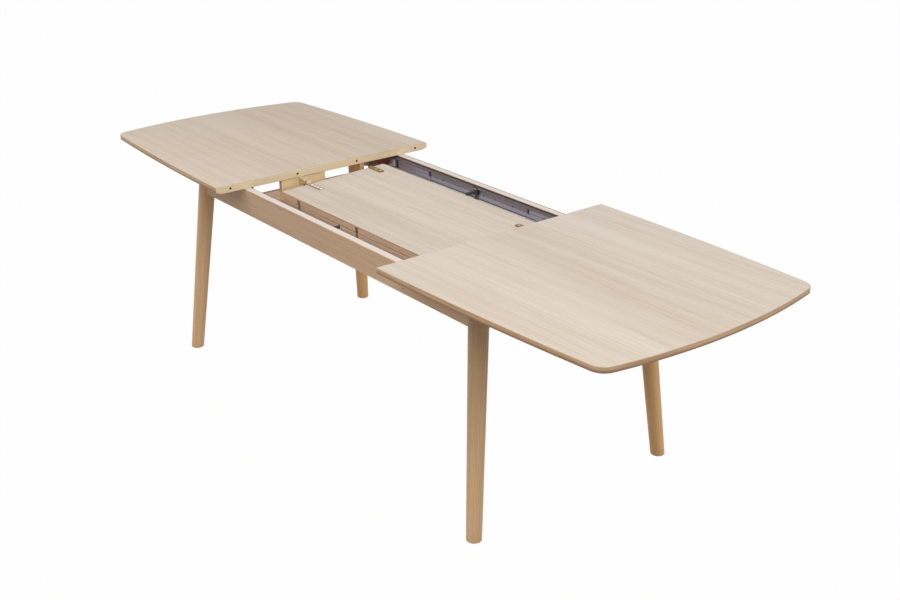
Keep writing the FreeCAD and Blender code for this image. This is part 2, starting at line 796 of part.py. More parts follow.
# ---- assembly ----
def build():
    nodes = {}

    blank_side, tenon_side = side_rail_blank()
    blank_end, tenon_end = end_rail_blank()
    leg = leg_blank().cut(tenon_side).cut(tenon_end).cut(bolt_hole())
    legs = {(sx, sy): mirrored(leg, sx, sy) for sx in ENDS for sy in ENDS}
    all_legs = list(legs.values())
    for face, sy in FACES.items():
        for side, sx in SIDES.items():
            nodes["leg_%s_%s" % (face, side)] = legs[sx, sy]

    screws = [slide_screw(sx * x) for sx in ENDS for x in screw_places()]
    side_rail = fuse([blank_side, tenon_side])
    side_rail = side_rail.cut(all_legs).cut(screws)
    for face, sy in FACES.items():
        nodes["side_rail_" + face] = mirrored(side_rail, 1, sy)
    end_rail = fuse([blank_end, tenon_end]).cut(all_legs)
    for side, sx in SIDES.items():
        nodes["end_rail_" + side] = mirrored(end_rail, sx, 1)

    block = corner_block_blank().cut(leg)
    quarters = [(sx, sy) for sx in ENDS for sy in ENDS]
    nodes["corner_blocks"] = group([mirrored(block, *q) for q in quarters])
    nodes["corner_bolts"] = group([mirrored(corner_bolt(), *q) for q in quarters])
    nodes["foot_pads"] = group([mirrored(foot_pad(), *q) for q in quarters])
    nodes["rail_glides"] = group(rail_glides())

    fixed = fixed_member()
    fixed = fixed.fuse(mirrored(fixed, -1, 1)).cut(screws)
    for face, sy in FACES.items():
        nodes["fixed_slides_" + face] = group([mirrored(fixed, 1, sy)])
    nodes["slide_screws"] = group([mirrored(s, 1, sy) for s in screws for sy in ENDS])
    nodes["centre_stops"] = group([mirrored(centre_stop(), 1, sy) for sy in ENDS])

    for side, sx in SIDES.items():
        nodes["cross_member_" + side] = mirrored(cross_member(), sx, 1)
        nodes["pivot_board_" + side] = mirrored(pivot_board(), sx, 1)
    nodes["pivot_pins"] = group([mirrored(pivot_plate(), sx, 1) for sx in ENDS])
    nodes["rest_posts"] = group([mirrored(rest_post(), sx, 1) for sx in ENDS])
    nodes["rest_pegs"] = group([mirrored(rest_peg(), sx, 1) for sx in ENDS])

    rows = [y * sy for y in DOWEL_YS for sy in ENDS]
    panel = top_panel()
    sockets = dowel_row(0, -1, rows, DOWEL_R + DOWEL_CLEAR, DOWEL_OUT + 2)
    shanks = dowel_row(SEAM_GAP + DOWEL_IN, -1, rows, DOWEL_R, DOWEL_IN + DOWEL_OUT)
    out = {"left": V(-OPEN_TRAVEL, 0, 0), "right": V(OPEN_TRAVEL, 0, 0)}
    halves = {
        "left": mirrored(panel, -1, 1).cut(sockets),
        "right": panel.cut(shanks),
    }
    for side, sx in SIDES.items():
        whole = {
            "top_panel_": halves[side],
            "top_runners_": group([mirrored(runner(sy), sx, 1) for sy in ENDS]),
            "inner_slides_": group([mirrored(inner_member(), sx, sy) for sy in ENDS]),
        }
        for name, shape in whole.items():
            shape.translate(out[side])
            nodes[name + side] = shape
        middle = group([mirrored(mid_member(), sx, sy) for sy in ENDS])
        middle.translate(out[side] * 0.5)
        nodes["middle_slides_" + side] = middle
    dowels = group(shanks)
    dowels.translate(out["right"])
    nodes["top_dowels"] = dowels

    back = leaf_half().cut([hinge_pocket(x) for x in HINGE_XS])
    left_pins = dowel_row(-LEAF_END + DOWEL_IN, -1, DOWEL_YS, DOWEL_R, DOWEL_IN + DOWEL_OUT)
    right_holes = dowel_row(LEAF_END, -1, DOWEL_YS, DOWEL_R + DOWEL_CLEAR, DOWEL_OUT + 2)
    back = back.cut(left_pins).cut(right_holes)
    plates = [hinge_plate(x) for x in HINGE_XS]
    links = [hinge_link(x) for x in HINGE_XS]

    both = SIDES.items()
    straps = [mirrored(pivot_strap(side), sx, 1) for side, sx in both]
    rests = [mirrored(rest_strap(side), sx, 1) for side, sx in both]
    heads = [mirrored(h, sx, 1) for side, sx in both for h in strap_screws(side)]
    front_set = {
        "leaf_front_panel": mirrored(back, 1, -1),
        "leaf_front_dowels": group([mirrored(p, 1, -1) for p in left_pins]),
        "leaf_front_hinge_plates": group([mirrored(p, 1, -1) for p in plates]),
        "leaf_pivot_straps": group(straps),
        "leaf_rest_straps": group(rests),
        "leaf_strap_screws": group(heads),
    }
    back_set = {
        "leaf_back_panel": back,
        "leaf_back_dowels": group(left_pins),
        "leaf_back_hinge_plates": group(plates),
    }
    for name, shape in front_set.items():
        nodes[name] = stored(shape)
    for name, shape in back_set.items():
        nodes[name] = stored(folded(shape))
    nodes["leaf_hinge_links"] = stored(half_folded(group(links)))
    return nodes


def main():
    os.makedirs("parts", exist_ok=True)
    for name, shape in build().items():
        shape.exportStep("parts/%s.step" % name)


main()
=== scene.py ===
import math

import bmesh
import bpy
from bpy.props import FloatProperty, FloatVectorProperty, IntProperty, PointerProperty
from mathutils import Matrix, Vector


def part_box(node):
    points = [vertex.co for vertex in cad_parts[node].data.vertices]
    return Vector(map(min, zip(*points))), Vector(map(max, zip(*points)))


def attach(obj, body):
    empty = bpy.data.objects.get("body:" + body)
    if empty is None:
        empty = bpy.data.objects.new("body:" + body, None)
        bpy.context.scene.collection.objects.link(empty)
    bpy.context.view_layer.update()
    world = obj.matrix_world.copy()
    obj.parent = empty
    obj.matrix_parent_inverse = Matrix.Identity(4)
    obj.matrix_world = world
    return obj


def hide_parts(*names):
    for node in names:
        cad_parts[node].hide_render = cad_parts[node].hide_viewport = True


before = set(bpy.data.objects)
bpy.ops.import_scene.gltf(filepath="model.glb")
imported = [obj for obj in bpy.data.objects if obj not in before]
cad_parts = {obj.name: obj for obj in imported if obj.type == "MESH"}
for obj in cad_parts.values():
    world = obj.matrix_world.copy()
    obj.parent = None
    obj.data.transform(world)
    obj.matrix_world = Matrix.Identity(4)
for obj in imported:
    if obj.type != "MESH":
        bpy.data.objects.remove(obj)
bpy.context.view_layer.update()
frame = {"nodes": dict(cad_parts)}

bl_info = {
    "name": "Extending Dining Table",
    "version": (1, 2, 0),
    "blender": (4, 5, 0),
    "location": "View3D > Sidebar > Dining Table",
    "description": "Dresses an extending oak dining table with its slides, leaf and fittings",
    "category": "Object",
}

NODES = frame["nodes"]
SIDES = {"left": -1, "right": 1}
FACES = {"front": -1, "back": 1}
SIGNS = (-1, 1)
QUARTERS = [(sx, sy) for sx in SIGNS for sy in SIGNS]
X_AXIS = Vector((1, 0, 0))
UP = Vector((0, 0, 1))
GRAIN_TURN = {"x": (0, 0, 0), "y": (0, 0, -math.pi / 2), "z": (0, math.pi / 2, 0)}
# the packed model's own levels
TOP_LOW, TOP_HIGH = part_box("top_panel_right")
RAIL_LOW, RAIL_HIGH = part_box("side_rail_back")
END_LOW, END_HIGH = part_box("end_rail_right")
FIXED_LOW, FIXED_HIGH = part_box("fixed_slides_back")
MIDDLE_LOW, MIDDLE_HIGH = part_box("middle_slides_right")
INNER_LOW, INNER_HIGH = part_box("inner_slides_right")
LEAF_LOW, LEAF_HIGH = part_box("leaf_front_panel")
BOARD_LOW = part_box("pivot_board_right")[0]
SLIDE_Z = (FIXED_HIGH.z + FIXED_LOW.z) / 2
RAIL_Y = (RAIL_LOW.y + RAIL_HIGH.y) / 2
END_X = (END_LOW.x + END_HIGH.x) / 2


# ---- colours and sizes ----
def shade(*screen):
    """A linear colour from the red, green and blue that a screen would show, 0 to 255."""
    levels = [value / 255 for value in screen]
    return tuple(v / 12.92 if v <= 0.04045 else ((v + 0.055) / 1.055) ** 2.4 for v in levels)


def scaled(rgb, share):
    """A colour made darker or lighter by a share."""
    return tuple(min(1, c * share) for c in rgb)


def colour(text, *screen):
    return FloatVectorProperty(
        name=text, description="Colour of the " + text.lower(), subtype="COLOR", size=3,
        min=0, max=1, default=shade(*screen)
    )


def length(text, default):
    return FloatProperty(
        name=text, description=text, default=default, min=0, precision=5, unit="LENGTH"
    )


def angle(text, degrees):
    return FloatProperty(
        name=text, description=text, default=math.radians(degrees), subtype="ANGLE"
    )


def number(text, default):
    return FloatProperty(name=text, description=text, default=default, min=0)


class TableOak(bpy.types.PropertyGroup):
    """Oak veneer and solid oak"""

    veneer: colour("Right veneer", 223, 210, 195)
    veneer_dark: colour("Right veneer's grain", 201, 182, 160)
    warm: colour("Left veneer", 220, 202, 182)
    warm_dark: colour("Left veneer's grain", 198, 176, 152)
    cool: colour("Clouds in the veneer", 214, 204, 196)
    band: colour("Solid edges of the tops", 206, 176, 138)
    band_dark: colour("Grain of the tops' edges", 164, 124, 92)
    # painted shade on the lower half of the tops' edges
    low_edge_shade: colour("Lower half of the edges", 128, 88, 64)
    leaf_band: colour("Leaf's solid edges", 230, 192, 160)
    leaf_band_dark: colour("Grain of the leaf's edges", 194, 156, 124)
    seam: colour("Edges that meet at the seam", 240, 220, 184)
    solid: colour("Rails", 206, 176, 146)
    solid_dark: colour("Rails' grain", 170, 136, 104)
    leg: colour("Front legs", 218, 184, 144)
    leg_dark: colour("Front legs' grain", 180, 140, 102)
    # painted warm bounce light: the back legs are brighter and more orange than the front legs
    back_leg: colour("Back legs", 232, 190, 138)
    rear_leg_bounce_grain: colour("Back legs' grain", 196, 148, 98)
    core: colour("Rails' upper edges", 236, 226, 218)
    # painted shade on the rails' inner faces, darkest just over the slides
    inside: colour("Rails' inner faces", 88, 60, 52)
    groove: colour("Inner faces over the slides", 74, 64, 60)
    strip: length("Width of one leaf of veneer", 0.152)
    ring: length("Distance between growth rings", 0.0042)
    lipping: length("Thickness of a rail's darker outer face", 0.0032)


class TableWood(bpy.types.PropertyGroup):
    """Softwood, plywood and dowels inside the table"""

    pine: colour("Blocks and posts", 214, 184, 142)
    pine_dark: colour("Blocks' darker rings", 186, 142, 96)
    cross: colour("Cross members", 246, 216, 200)
    cross_dark: colour("Cross members' grain", 216, 176, 156)
    # painted shade: the runners' dark red-brown stands for the shade under the tops
    runner: colour("Runners", 150, 88, 56)
    runner_dark: colour("Runners' grain", 116, 62, 38)
    ply: colour("Pivot boards", 252, 230, 184)
    ply_dark: colour("Pivot boards' grain", 236, 200, 146)
    dowel: colour("Dowels", 226, 196, 156)
    dowel_dark: colour("Dowels' grain", 206, 168, 124)
    ply_layer: length("Thickness of one layer of plywood", 0.0023)
    ring: length("Distance between the softwood's rings", 0.0062)


class TableMetal(bpy.types.PropertyGroup):
    """Slides, straps, hinges, bolts and screws"""

    slide: colour("Telescopic slides", 176, 168, 182)
    # painted shade on the fixed slides' upper halves
    dull: colour("Upper half of the fixed slides", 104, 92, 78)
    zinc: colour("Bolts and screws", 236, 228, 220)
    strap: colour("Pivot straps", 182, 164, 146)
    # painted shade on the straps' rims
    rim_shade: colour("Rims of the pivot straps", 172, 138, 106)
    # painted light on the straps' bent ends
    bent_end_light: colour("Bent ends of the pivot straps", 230, 206, 184)
    rest: colour("Rest straps", 146, 116, 70)
    rest_screw: colour("Rest straps' screws", 200, 182, 140)
    plate: colour("Pivot plates", 224, 206, 158)
    rivet: colour("Pivot plates' screws", 240, 222, 160)
    brass: colour("Hinges", 214, 190, 128)
    # painted shade on the hinges' narrow sides
    hinge_rim_shade: colour("Hinges' narrow sides", 142, 98, 76)
    dark: colour("Slides' screws", 92, 88, 92)


class TableSmall(bpy.types.PropertyGroup):
    """Plastic and felt"""

    stop: colour("Moulded stops", 62, 60, 66)
    bumper: colour("Bumpers in the slides", 40, 36, 36)
    cap: colour("Caps on the slides' ends", 206, 194, 190)
    glide: colour("Pads on the rails", 222, 218, 208)
    felt: colour("Pads under the legs", 120, 112, 104)


class TableTop(bpy.types.PropertyGroup):
    """Shape of the two sliding halves"""

    length: length("From the seam to the middle of the end", 0.895)
    half_width: length("From the middle to the widest side", 0.450)
    side_bow: length("How far the long side curves in at the end", 0.0375)
    end_bow: length("How far the end curves in at the corners", 0.046)
    corner: length("Radius of the corners seen from above", 0.046)
    bevel_in: length("How far the under bevel goes in", 0.018)
    bevel_up: length("How far the under bevel goes up", 0.008)
    ease: length("Radius of the upper edge", 0.0025)
    seam_gap: length("Half of the gap between closed halves", 0.0002)
    seam_ease: length("Bevel of the upper seam edge", 0.0008)
    seam_band: length("Width of the paler edge at the seam", 0.012)
    socket: length("Radius of the dowel holes", 0.0045)
    socket_depth: length("Depth of the dowel holes", 0.016)
    dowel: length("Radius of the dowels", 0.0040)
    dowel_length: length("Length of a dowel", 0.036)
    dowel_out: length("How far a dowel's middle lies behind the seam", 0.004)
    inner_row: length("From the middle to the inner dowels", 0.127)
    outer_row: length("From the middle to the outer dowels", 0.395)


class TableLeg(bpy.types.PropertyGroup):
    """Shape of the splayed legs"""

    head_x: length("Middle of the head along the table", 0.760)
    head_y: length("Middle of the head across the table", 0.320)
    splay_x: length("How much farther out the foot stands", 0.071)
    splay_y: length("How much farther to the side the foot stands", 0.069)
    head_r: length("Radius at the head", 0.0303)
    foot_r: length("Radius at the floor", 0.0232)
    foot_ease: length("Rounding of the foot's edge", 0.0015)
    pad: length("Height of the felt pad", 0.003)
    pad_r: length("Radius of the felt pad", 0.017)
    tenon: length("Thickness of the rails' tenons", 0.010)
    tenon_high: length("Height of the rails' tenons", 0.060)
    tenon_deep: length("How far a tenon goes into the leg", 0.020)
    tenon_x: length("Where the side rails' tenons begin along the table", 0.70)
    tenon_y: length("Where the end rails' tenons begin across the table", 0.26)
    bolt_in: length("From the rails' inner faces to a bolt's head", 0.049)
    bolt: length("Length of a bolt", 0.0796)
    glide_r: length("Radius of a rail glide", 0.009)
    glide_near: length("From a leg to the nearer glide on a side rail", 0.060)
    glide_far: length("From a leg to the farther glide on a side rail", 0.200)
    glide_end: length("From a leg to the glide on an end rail", 0.130)
    sides: IntProperty(name="Sides", description="Facets round a leg", default=96, min=3)


class TableSlide(bpy.types.PropertyGroup):
    """Shape of the telescopic slides and their stops"""

    start: length("From the middle to the fixed member's end", 0.012)
    width: length("Depth of the whole slide", 0.0127)
    sheet: length("Thickness of the steel", 0.0015)
    gap: length("Room between two members", 0.0006)
    lip: length("Height of the turned-in lips", 0.0025)
    bend: length("Radius of the bends", 0.0020)
    hole: length("Radius of the holes in the members", 0.0022)
    step: length("Distance between the holes", 0.0320)
    screw_near: length("From a fixed member's inner end to its first screw", 0.022)
    screw_mid: length("From a fixed member's inner end to its second screw", 0.175)
    screw_far: length("From a fixed member's outer end to its last screw", 0.060)
    keep_off: length("From a screw to the nearest hole", 0.014)
    bumper: length("Thickness of the bumpers", 0.00045)
    bumper_half: length("Half the height of the bumpers", 0.0165)
    bumper_out: length("From the inner member's end to the bumper's", 0.019)
    tab: length("Length of the small bumpers", 0.009)
    tab_drop: length("How far the small bumpers go under the middle", 0.004)
    cap_half: length("Half the height of the end caps", 0.0134)
    cap: length("Length of the bumpers and the end caps", 0.013)
    cap_in: length("From the rail to the end caps", 0.0045)
    round: length("Radius of the bumpers' and the caps' corners", 0.0015)
    stop_reach: length("How far a stop's arm stands out", 0.052)
    stop_width: length("Width of a stop's arm", 0.009)
    stop_height: length("Height of a stop's arm", 0.010)
    root_width: length("Width of a stop's root", 0.018)
    root_depth: length("How far the root stands out", 0.014)
    root_height: length("Height of the root", 0.020)
    root_drop: length("From the slide's top to the root's", 0.006)
    stop_screw: length("From the root's face to its screw", 0.0055)
    stop_screw_off: length("How far that screw lies off the middle", 0.0035)


class TableFitting(bpy.types.PropertyGroup):
    """Shape of the leaf's pivots, straps and screws"""

    pivot_y: length("From the pivot to the middle", 0.112)
    pivot_z: length("Height of the pivot", 0.712)
    tilt: angle("Slope of the folded leaf", 2.5)
    hinge_half: length("From the fold to each hinge pin", 0.0058)
    hinge_drop: length("From the leaf's face to the hinge pins", 0.005)
    strap: length("Width of the pivot straps", 0.020)
    strap_thick: length("Thickness of the straps", 0.003)
    strap_left: length("Length of the left strap on the leaf", 0.084)
    strap_right: length("Length of the right strap on the leaf", 0.032)
    rest: length("Width of the rest straps", 0.021)
    rest_y: length("From the rest strap to the middle", 0.376)
    rest_left: length("Length of the left rest strap on the leaf", 0.075)
    rest_right: length("Length of the right rest strap on the leaf", 0.030)
    rest_past: length("How far a rest strap goes past the leaf", 0.008)
    lug: length("Height of a strap's bent end over the pivot", 0.0073)
    lug_thick: length("Thickness of the bent end", 0.009)
    lug_gap: length("From the leaf to the bent end", 0.001)
    pin: length("Radius of the pivot pins", 0.004)
    boss: length("Radius of the pivot's collar", 0.0058)
    plate: length("Thickness of a pivot plate", 0.003)
    plate_half: length("Half the width of a pivot plate", 0.010)
    plate_high: length("Height of a pivot plate", 0.027)
    plate_corner: length("Radius of a pivot plate's corners", 0.003)
    plate_screw: length("From the pivot down to the plate's screw", 0.0115)
    peg: length("Radius of the rest pegs", 0.003)
    peg_drop: length("Height of the peg's upright", 0.026)
    peg_bend: length("Radius of the peg's bend", 0.008)
    peg_in: length("How far a peg goes into its post", 0.012)
    screw_in: length("From a pivot strap's end to its first screw", 0.009)
    rest_screw_in: length("From a rest strap's end to its first screw", 0.0125)
    screw: length("Head radius of a strap screw", 0.0058)
    slide_screw: length("Head radius of a slide screw", 0.0040)


class TableStage(bpy.types.PropertyGroup):
    """Floor, light and camera"""

    floor: colour("Floor under the table", 168, 156, 142)
    reach: length("Half the floor's width", 14.0)
    world_power: number("Strength of the even light", 0.43)
    key_power: number("Power of the main lamp", 92)
    fill_power: number("Power of the front lamp", 54)
    side_power: number("Power of the low side lamp", 48)
    camera_from: FloatVectorProperty(
        name="Camera place", description="Where the camera stands", subtype="TRANSLATION",
        size=3, default=(3.048, -2.270, 2.004)
    )
    camera_turn: angle("Camera's heading from the X axis", 141.07)
    camera_dip: angle("Camera's angle below level", 23.29)
    camera_roll: angle("Camera's turn about its own axis", 0.11)
    camera_lens: number("Focal length in millimetres", 48.12)


# ---- node building ----
class Wire:
    """A value in a node tree, with Python's arithmetic."""

    def __init__(self, net, socket):
        self.net = net
        self.socket = socket

    def __add__(self, other):
        return self.net.maths("ADD", self, other)

    def __sub__(self, other):
        return self.net.maths("SUBTRACT", self, other)

    def __rsub__(self, other):
        return self.net.maths("SUBTRACT", other, self)

    def __mul__(self, other):
        return self.net.maths("MULTIPLY", self, other)

    def __truediv__(self, other):
        return self.net.maths("DIVIDE", self, other)

    def __abs__(self):
        return self.net.maths("ABSOLUTE", self)


class Tree:
    """Nodes and links of a material, a world or a geometry tree, which starts empty."""

    def __init__(self, tree):
        self.tree = tree
        tree.nodes.clear()

    def node(self, kind, inputs=None, **settings):
        """A node with the values or links of its sockets, and its settings."""
        made = self.tree.nodes.new(kind)
        for name, value in settings.items():
            setattr(made, name, value)
        for name, value in (inputs or {}).items():
            socket = made.inputs[name]
            if isinstance(value, (Wire, list)):
                for part in value if isinstance(value, list) else [value]:
                    self.tree.links.new(part.socket, socket)
            elif hasattr(value, "__len__") and len(value) == 3 and len(socket.default_value) == 4:
                socket.default_value = (*value, 1)
            else:
                socket.default_value = value
        return made

    def wire(self, made, name=0):
        return Wire(self, made.outputs[name])

    def get(self, kind, inputs=None, **settings):
        """The first output of a new node."""
        return self.wire(self.node(kind, inputs, **settings))

    def maths(self, operation, *values):
        return self.get("ShaderNodeMath", dict(enumerate(values)), operation=operation)

    def split(self, vector):
        made = self.node("ShaderNodeSeparateXYZ", {0: vector})
        return [self.wire(made, i) for i in range(3)]

    def join(self, x, y, z):
        return self.get("ShaderNodeCombineXYZ", {0: x, 1: y, 2: z})

    def clamp(self, value):
        return self.get("ShaderNodeClamp", {0: value})

    def seen(self, *kinds):
        """1 for rays of any of these kinds."""
        path = self.node("ShaderNodeLightPath")
        found = [self.wire(path, "Is %s Ray" % kind) for kind in kinds]
        while len(found) > 1:
            found[:2] = [self.maths("MAXIMUM", *found[:2])]
        return found[0]


class Net(Tree):
    """One material's nodes."""

    def __init__(self, name):
        self.material = bpy.data.materials.new(name)
        self.material.use_nodes = True
        super().__init__(self.material.node_tree)

    def ramp(self, value, *stops):
        """A value bent through a grey ramp of places and levels."""
        made = self.node("ShaderNodeValToRGB", {0: value})
        points = made.color_ramp.elements
        while len(points) < len(stops):
            points.new(1)
        for point, (place, level) in zip(points, stops):
            point.position = place
            point.color = (level, level, level, 1)
        return self.wire(made)

    def step(self, value, low, high):
        """0 below low, 1 above high and a smooth rise between."""
        inputs = {"Value": value, "From Min": low, "From Max": high}
        return self.get("ShaderNodeMapRange", inputs, interpolation_type="SMOOTHSTEP")

    def mix(self, factor, a, b, blend="MIX"):
        """A colour between two colours."""
        inputs = {0: factor, 6: a, 7: b}
        return self.wire(self.node("ShaderNodeMix", inputs, data_type="RGBA", blend_type=blend), 2)

    def scaled(self, rgb, level):
        """A colour multiplied by a value."""
        return self.mix(1.0, rgb, self.join(level, level, level), "MULTIPLY")

    def place(self, offset=(0, 0, 0), turn=(0, 0, 0)):
        """Object coordinates, moved and turned."""
        coords = self.wire(self.node("ShaderNodeTexCoord"), "Object")
        inputs = {"Vector": coords, "Location": offset, "Rotation": turn}
        return self.get("ShaderNodeMapping", inputs)

    def facing(self):
        """The face's own direction in the piece's coordinates, as three values."""
        return self.split(self.wire(self.node("ShaderNodeTexCoord"), "Normal"))

    def noise(self, vector, scale, detail, rough, seed):
        inputs = {
            "Vector": vector, "W": seed, "Scale": scale, "Detail": detail, "Roughness": rough
        }
        return self.get("ShaderNodeTexNoise", inputs, noise_dimensions="4D")

    def streaks(self, vector, scale, detail, rough, seed):
        """Noise drawn out by a scale along each axis."""
        drawn = self.get("ShaderNodeVectorMath", {0: vector, 1: scale}, operation="MULTIPLY")
        return self.noise(drawn, 1, detail, rough, seed)

    def scatter(self, value):
        """A number with no order, one for each whole value."""
        return self.get("ShaderNodeTexWhiteNoise", {"W": value}, noise_dimensions="1D")

    def pocket(self, x, z, at, size):
        """1 at a point of a face, falling to 0 at a distance."""
        across = (x - at[0]) / size[0]
        up = (z - at[1]) / size[1]
        return 1 - self.step(across * across + up * up, 0.3, 1.0)

    def edge_wear(self, width):
        """1 along sharp edges, 0 on flat faces."""
        rounded_way = self.get("ShaderNodeBevel", {"Radius": width}, samples=4)
        flat = self.wire(self.node("ShaderNodeNewGeometry"), "Normal")
        dot = self.node("ShaderNodeVectorMath", {0: rounded_way, 1: flat}, operation="DOT_PRODUCT")
        return self.clamp((1 - self.wire(dot, "Value")) * 6)

    def end(self, shader):
        self.node("ShaderNodeOutputMaterial", {0: shader})
        return self.material

    def finish(self, colour, roughness, height, depth, metal=0.0, **fixed):
        """Ends the material in one surface shader."""
        bump = self.get("ShaderNodeBump", {"Height": height, "Distance": depth})
        inputs = {"Base Color": colour, "Roughness": roughness, "Metallic": metal, "Normal": bump}
        inputs.update({name.replace("_", " "): value for name, value in fixed.items()})
        return self.end(self.get("ShaderNodeBsdfPrincipled", inputs))


# ---- woods ----
def wood_fibres(net, grain, seed):
    """Fine fibres and short pores along the grain, as two values."""
    fibre = net.streaks(grain, (5, 420, 420), 3, 0.6, seed)
    pore = net.streaks(grain, (60, 1500, 1500), 2, 0.5, seed + 3)
    return fibre, net.ramp(pore, (0.30, 1), (0.42, 0))


def wood_rings(net, grain, ring, seed, pith=(0.31, -0.44), sway=0.055):
    """Growth rings about a distant pith, as a value that rises to the dark late wood."""
    drift = net.streaks(grain, (0.9, 5.0, 5.0), 3, 0.5, seed)
    x, y, z = net.split(grain)
    across = y - pith[0]
    rise = z - pith[1] + x * 0.018
    radius = net.maths("SQRT", across * across + rise * rise) + (drift - 0.5) * sway
    turns = radius / ring
    width = net.scatter(net.maths("FLOOR", turns))
    late = net.ramp(net.maths("FRACT", turns), (0, 0), (0.72, 0.8), (0.9, 1), (1, 0))
    return late * (width * 0.55 + 0.45)


def oak_top(oak, name, seed, face_rgb, band_rgb, seam_x=None):
    """Veneered oak faces with solid oak edges, paler on the edge at the seam."""
    light, dark = face_rgb
    net = Net(name)
    grain = net.place((seed * 0.13, seed * 0.071, 0))
    x, y, z = net.split(grain)
    lot = net.scatter(net.maths("FLOOR", y / oak.strip) + seed)
    # each strip of veneer shifts the pattern along the grain
    shifted = net.join(x + lot * 3.7, y, z)
    broad = net.streaks(shifted, (0.75, 24, 24), 3, 0.55, seed + 7)
    streak = net.streaks(shifted, (1.6, 110, 110), 4, 0.65, seed + 11)
    fibre, pore = wood_fibres(net, grain, seed)
    cloud = net.noise(grain, 2.4, 3, 0.5, seed + 17)
    tone = broad * 0.55 + streak * 0.75 + fibre * 0.35 + (lot - 0.5) * 0.12
    face = net.mix(net.step(tone, 0.60, 1.12), light, dark)
    face = net.mix(pore * 0.16, face, scaled(dark, 0.62))
    cool = net.mix(0.5, light, oak.cool)
    face = net.mix(net.step(cloud, 0.45, 0.75) * 0.4, face, cool)
    nx, _, nz = net.facing()
    rim = net.place((0, 0, seed * 0.09))
    band_fibre = net.streaks(rim, (9, 9, 620), 4, 0.6, seed + 23)
    band_tone = net.streaks(rim, (3, 3, 90), 2, 0.5, seed + 29)
    figure = net.step(band_fibre * 0.6 + band_tone * 0.6, 0.45, 0.85)
    band = net.mix(figure, *band_rgb)
    if seam_x:
        x, _, z = net.split(net.place())
        # painted shade: the lower part of each edge is darkened towards a shade colour
        lower = 1 - net.step(z, TOP_LOW.z + 0.009, TOP_LOW.z + 0.017)
        band = net.mix(lower * 0.8, band, oak.low_edge_shade)
        at_seam = net.step(abs(nx), 0.8, 0.95) * (1 - net.step(abs(x), seam_x, seam_x + 0.004))
        pale = net.mix(figure * 0.5, oak.seam, scaled(oak.seam, 0.8))
        band = net.mix(at_seam, band, pale)
    colour = net.mix(1 - net.step(abs(nz), 0.84, 0.89), face, band)
    rough = fibre * 0.14 + 0.40 + pore * 0.1
    height = fibre * 0.5 + streak * 0.5 - pore * 0.6
    return net.finish(colour, rough, height, 0.00012, Specular_IOR_Level=0.42)


def oak_solid(oak, name, axis, seed, colours=None, turn=None, shift=None, sway=0.055, fade=None):
    """Solid oak with its grain along one axis; the last argument gives its level at the head and at
    the foot, painted shade and painted light along a leg.
    """
    net = Net(name)
    light, dark = colours or (oak.solid, oak.solid_dark)
    shift = shift or (seed * 0.031, seed * 0.017, seed * 0.023)
    grain = net.place(shift, turn or GRAIN_TURN[axis])
    rings = wood_rings(net, grain, oak.ring, seed, sway=sway)
    fibre, pore = wood_fibres(net, grain, seed)
    slow = net.streaks(grain, (1.2, 30, 30), 3, 0.5, seed + 5)
    tone = rings * 0.42 + fibre * 0.35 + slow * 0.55
    colour = net.mix(net.step(tone, 0.32, 1.05), light, dark)
    if fade:
        # painted shade and light: the colour is scaled from the head's level down to the foot's
        down = 1 - net.step(net.split(net.place())[2], 0.05, TOP_LOW.z)
        colour = net.scaled(colour, down * (fade[1] - fade[0]) + fade[0])
    colour = net.mix(pore * 0.22, colour, scaled(dark, 0.6))
    colour = net.mix(net.edge_wear(0.0015) * 0.35, colour, scaled(light, 1.18))
    height = fibre * 0.5 + rings * 0.25 - pore * 0.6
    return net, colour, fibre * 0.15 + 0.42 + pore * 0.1, height


def plain_oak(*values, **words):
    net, colour, rough, height = oak_solid(*values, **words)
    return net.finish(colour, rough, height, 0.00015, Specular_IOR_Level=0.4)


def rail_oak(oak, name, seed, outer):
    """A rail of oak whose upper edge shows a pale core behind a darker face."""
    net, colour, rough, height = oak_solid(oak, name, "x", seed)
    _, ny, nz = net.facing()
    x, y, z = net.split(net.place())
    # painted light: the rails grow a tenth lighter towards +X
    colour = net.scaled(colour, net.step(x, -0.45, 0.45) * 0.1 + 1.0)
    inside = 1 - net.step(abs(y), outer - oak.lipping, outer - oak.lipping * 0.8)
    speck = net.streaks(net.place(), (30, 260, 30), 3, 0.6, seed + 2)
    upper = net.step(nz, 0.5, 0.8)
    colour = net.mix(upper * inside, colour, net.mix(speck * 0.3, oak.core, oak.solid))
    # painted shade: the back rail's outer top edge is darkened
    back_edge_shade = net.step(abs(y), outer - 0.0062, outer - 0.0052) * upper * net.step(y, 0, 0.01)
    colour = net.mix(back_edge_shade * 0.9, colour, scaled(oak.solid_dark, 0.5))
    # painted shade: the inner faces are darkened, and darker still in a band just over the fixed
    # slides
    inner = net.step(ny * (-1 if name.endswith("back") else 1), 0.6, 0.9)
    inner_shade = net.mix(speck * 0.35, oak.inside, oak.solid_dark)
    over = FIXED_HIGH.z
    over_slide_shade = net.step(z, over - 0.002, over + 0.002) * (1 - net.step(z, over + 0.004, over + 0.006))
    inner_shade = net.mix(over_slide_shade, inner_shade, net.mix(speck * 0.3, oak.groove, oak.inside))
    colour = net.mix(inner * 0.94, colour, inner_shade)
    # a small knot in the front rail's outer face
    knot =net.pocket(x, z, (0.4428, 0.6462), (0.005, 0.0035)) * net.step(ny * -1, 0.8, 0.9)
    colour = net.mix(knot * 0.8, colour, scaled(oak.solid_dark, 0.35))
    return net.finish(colour, rough, height, 0.00015, Specular_IOR_Level=0.4)


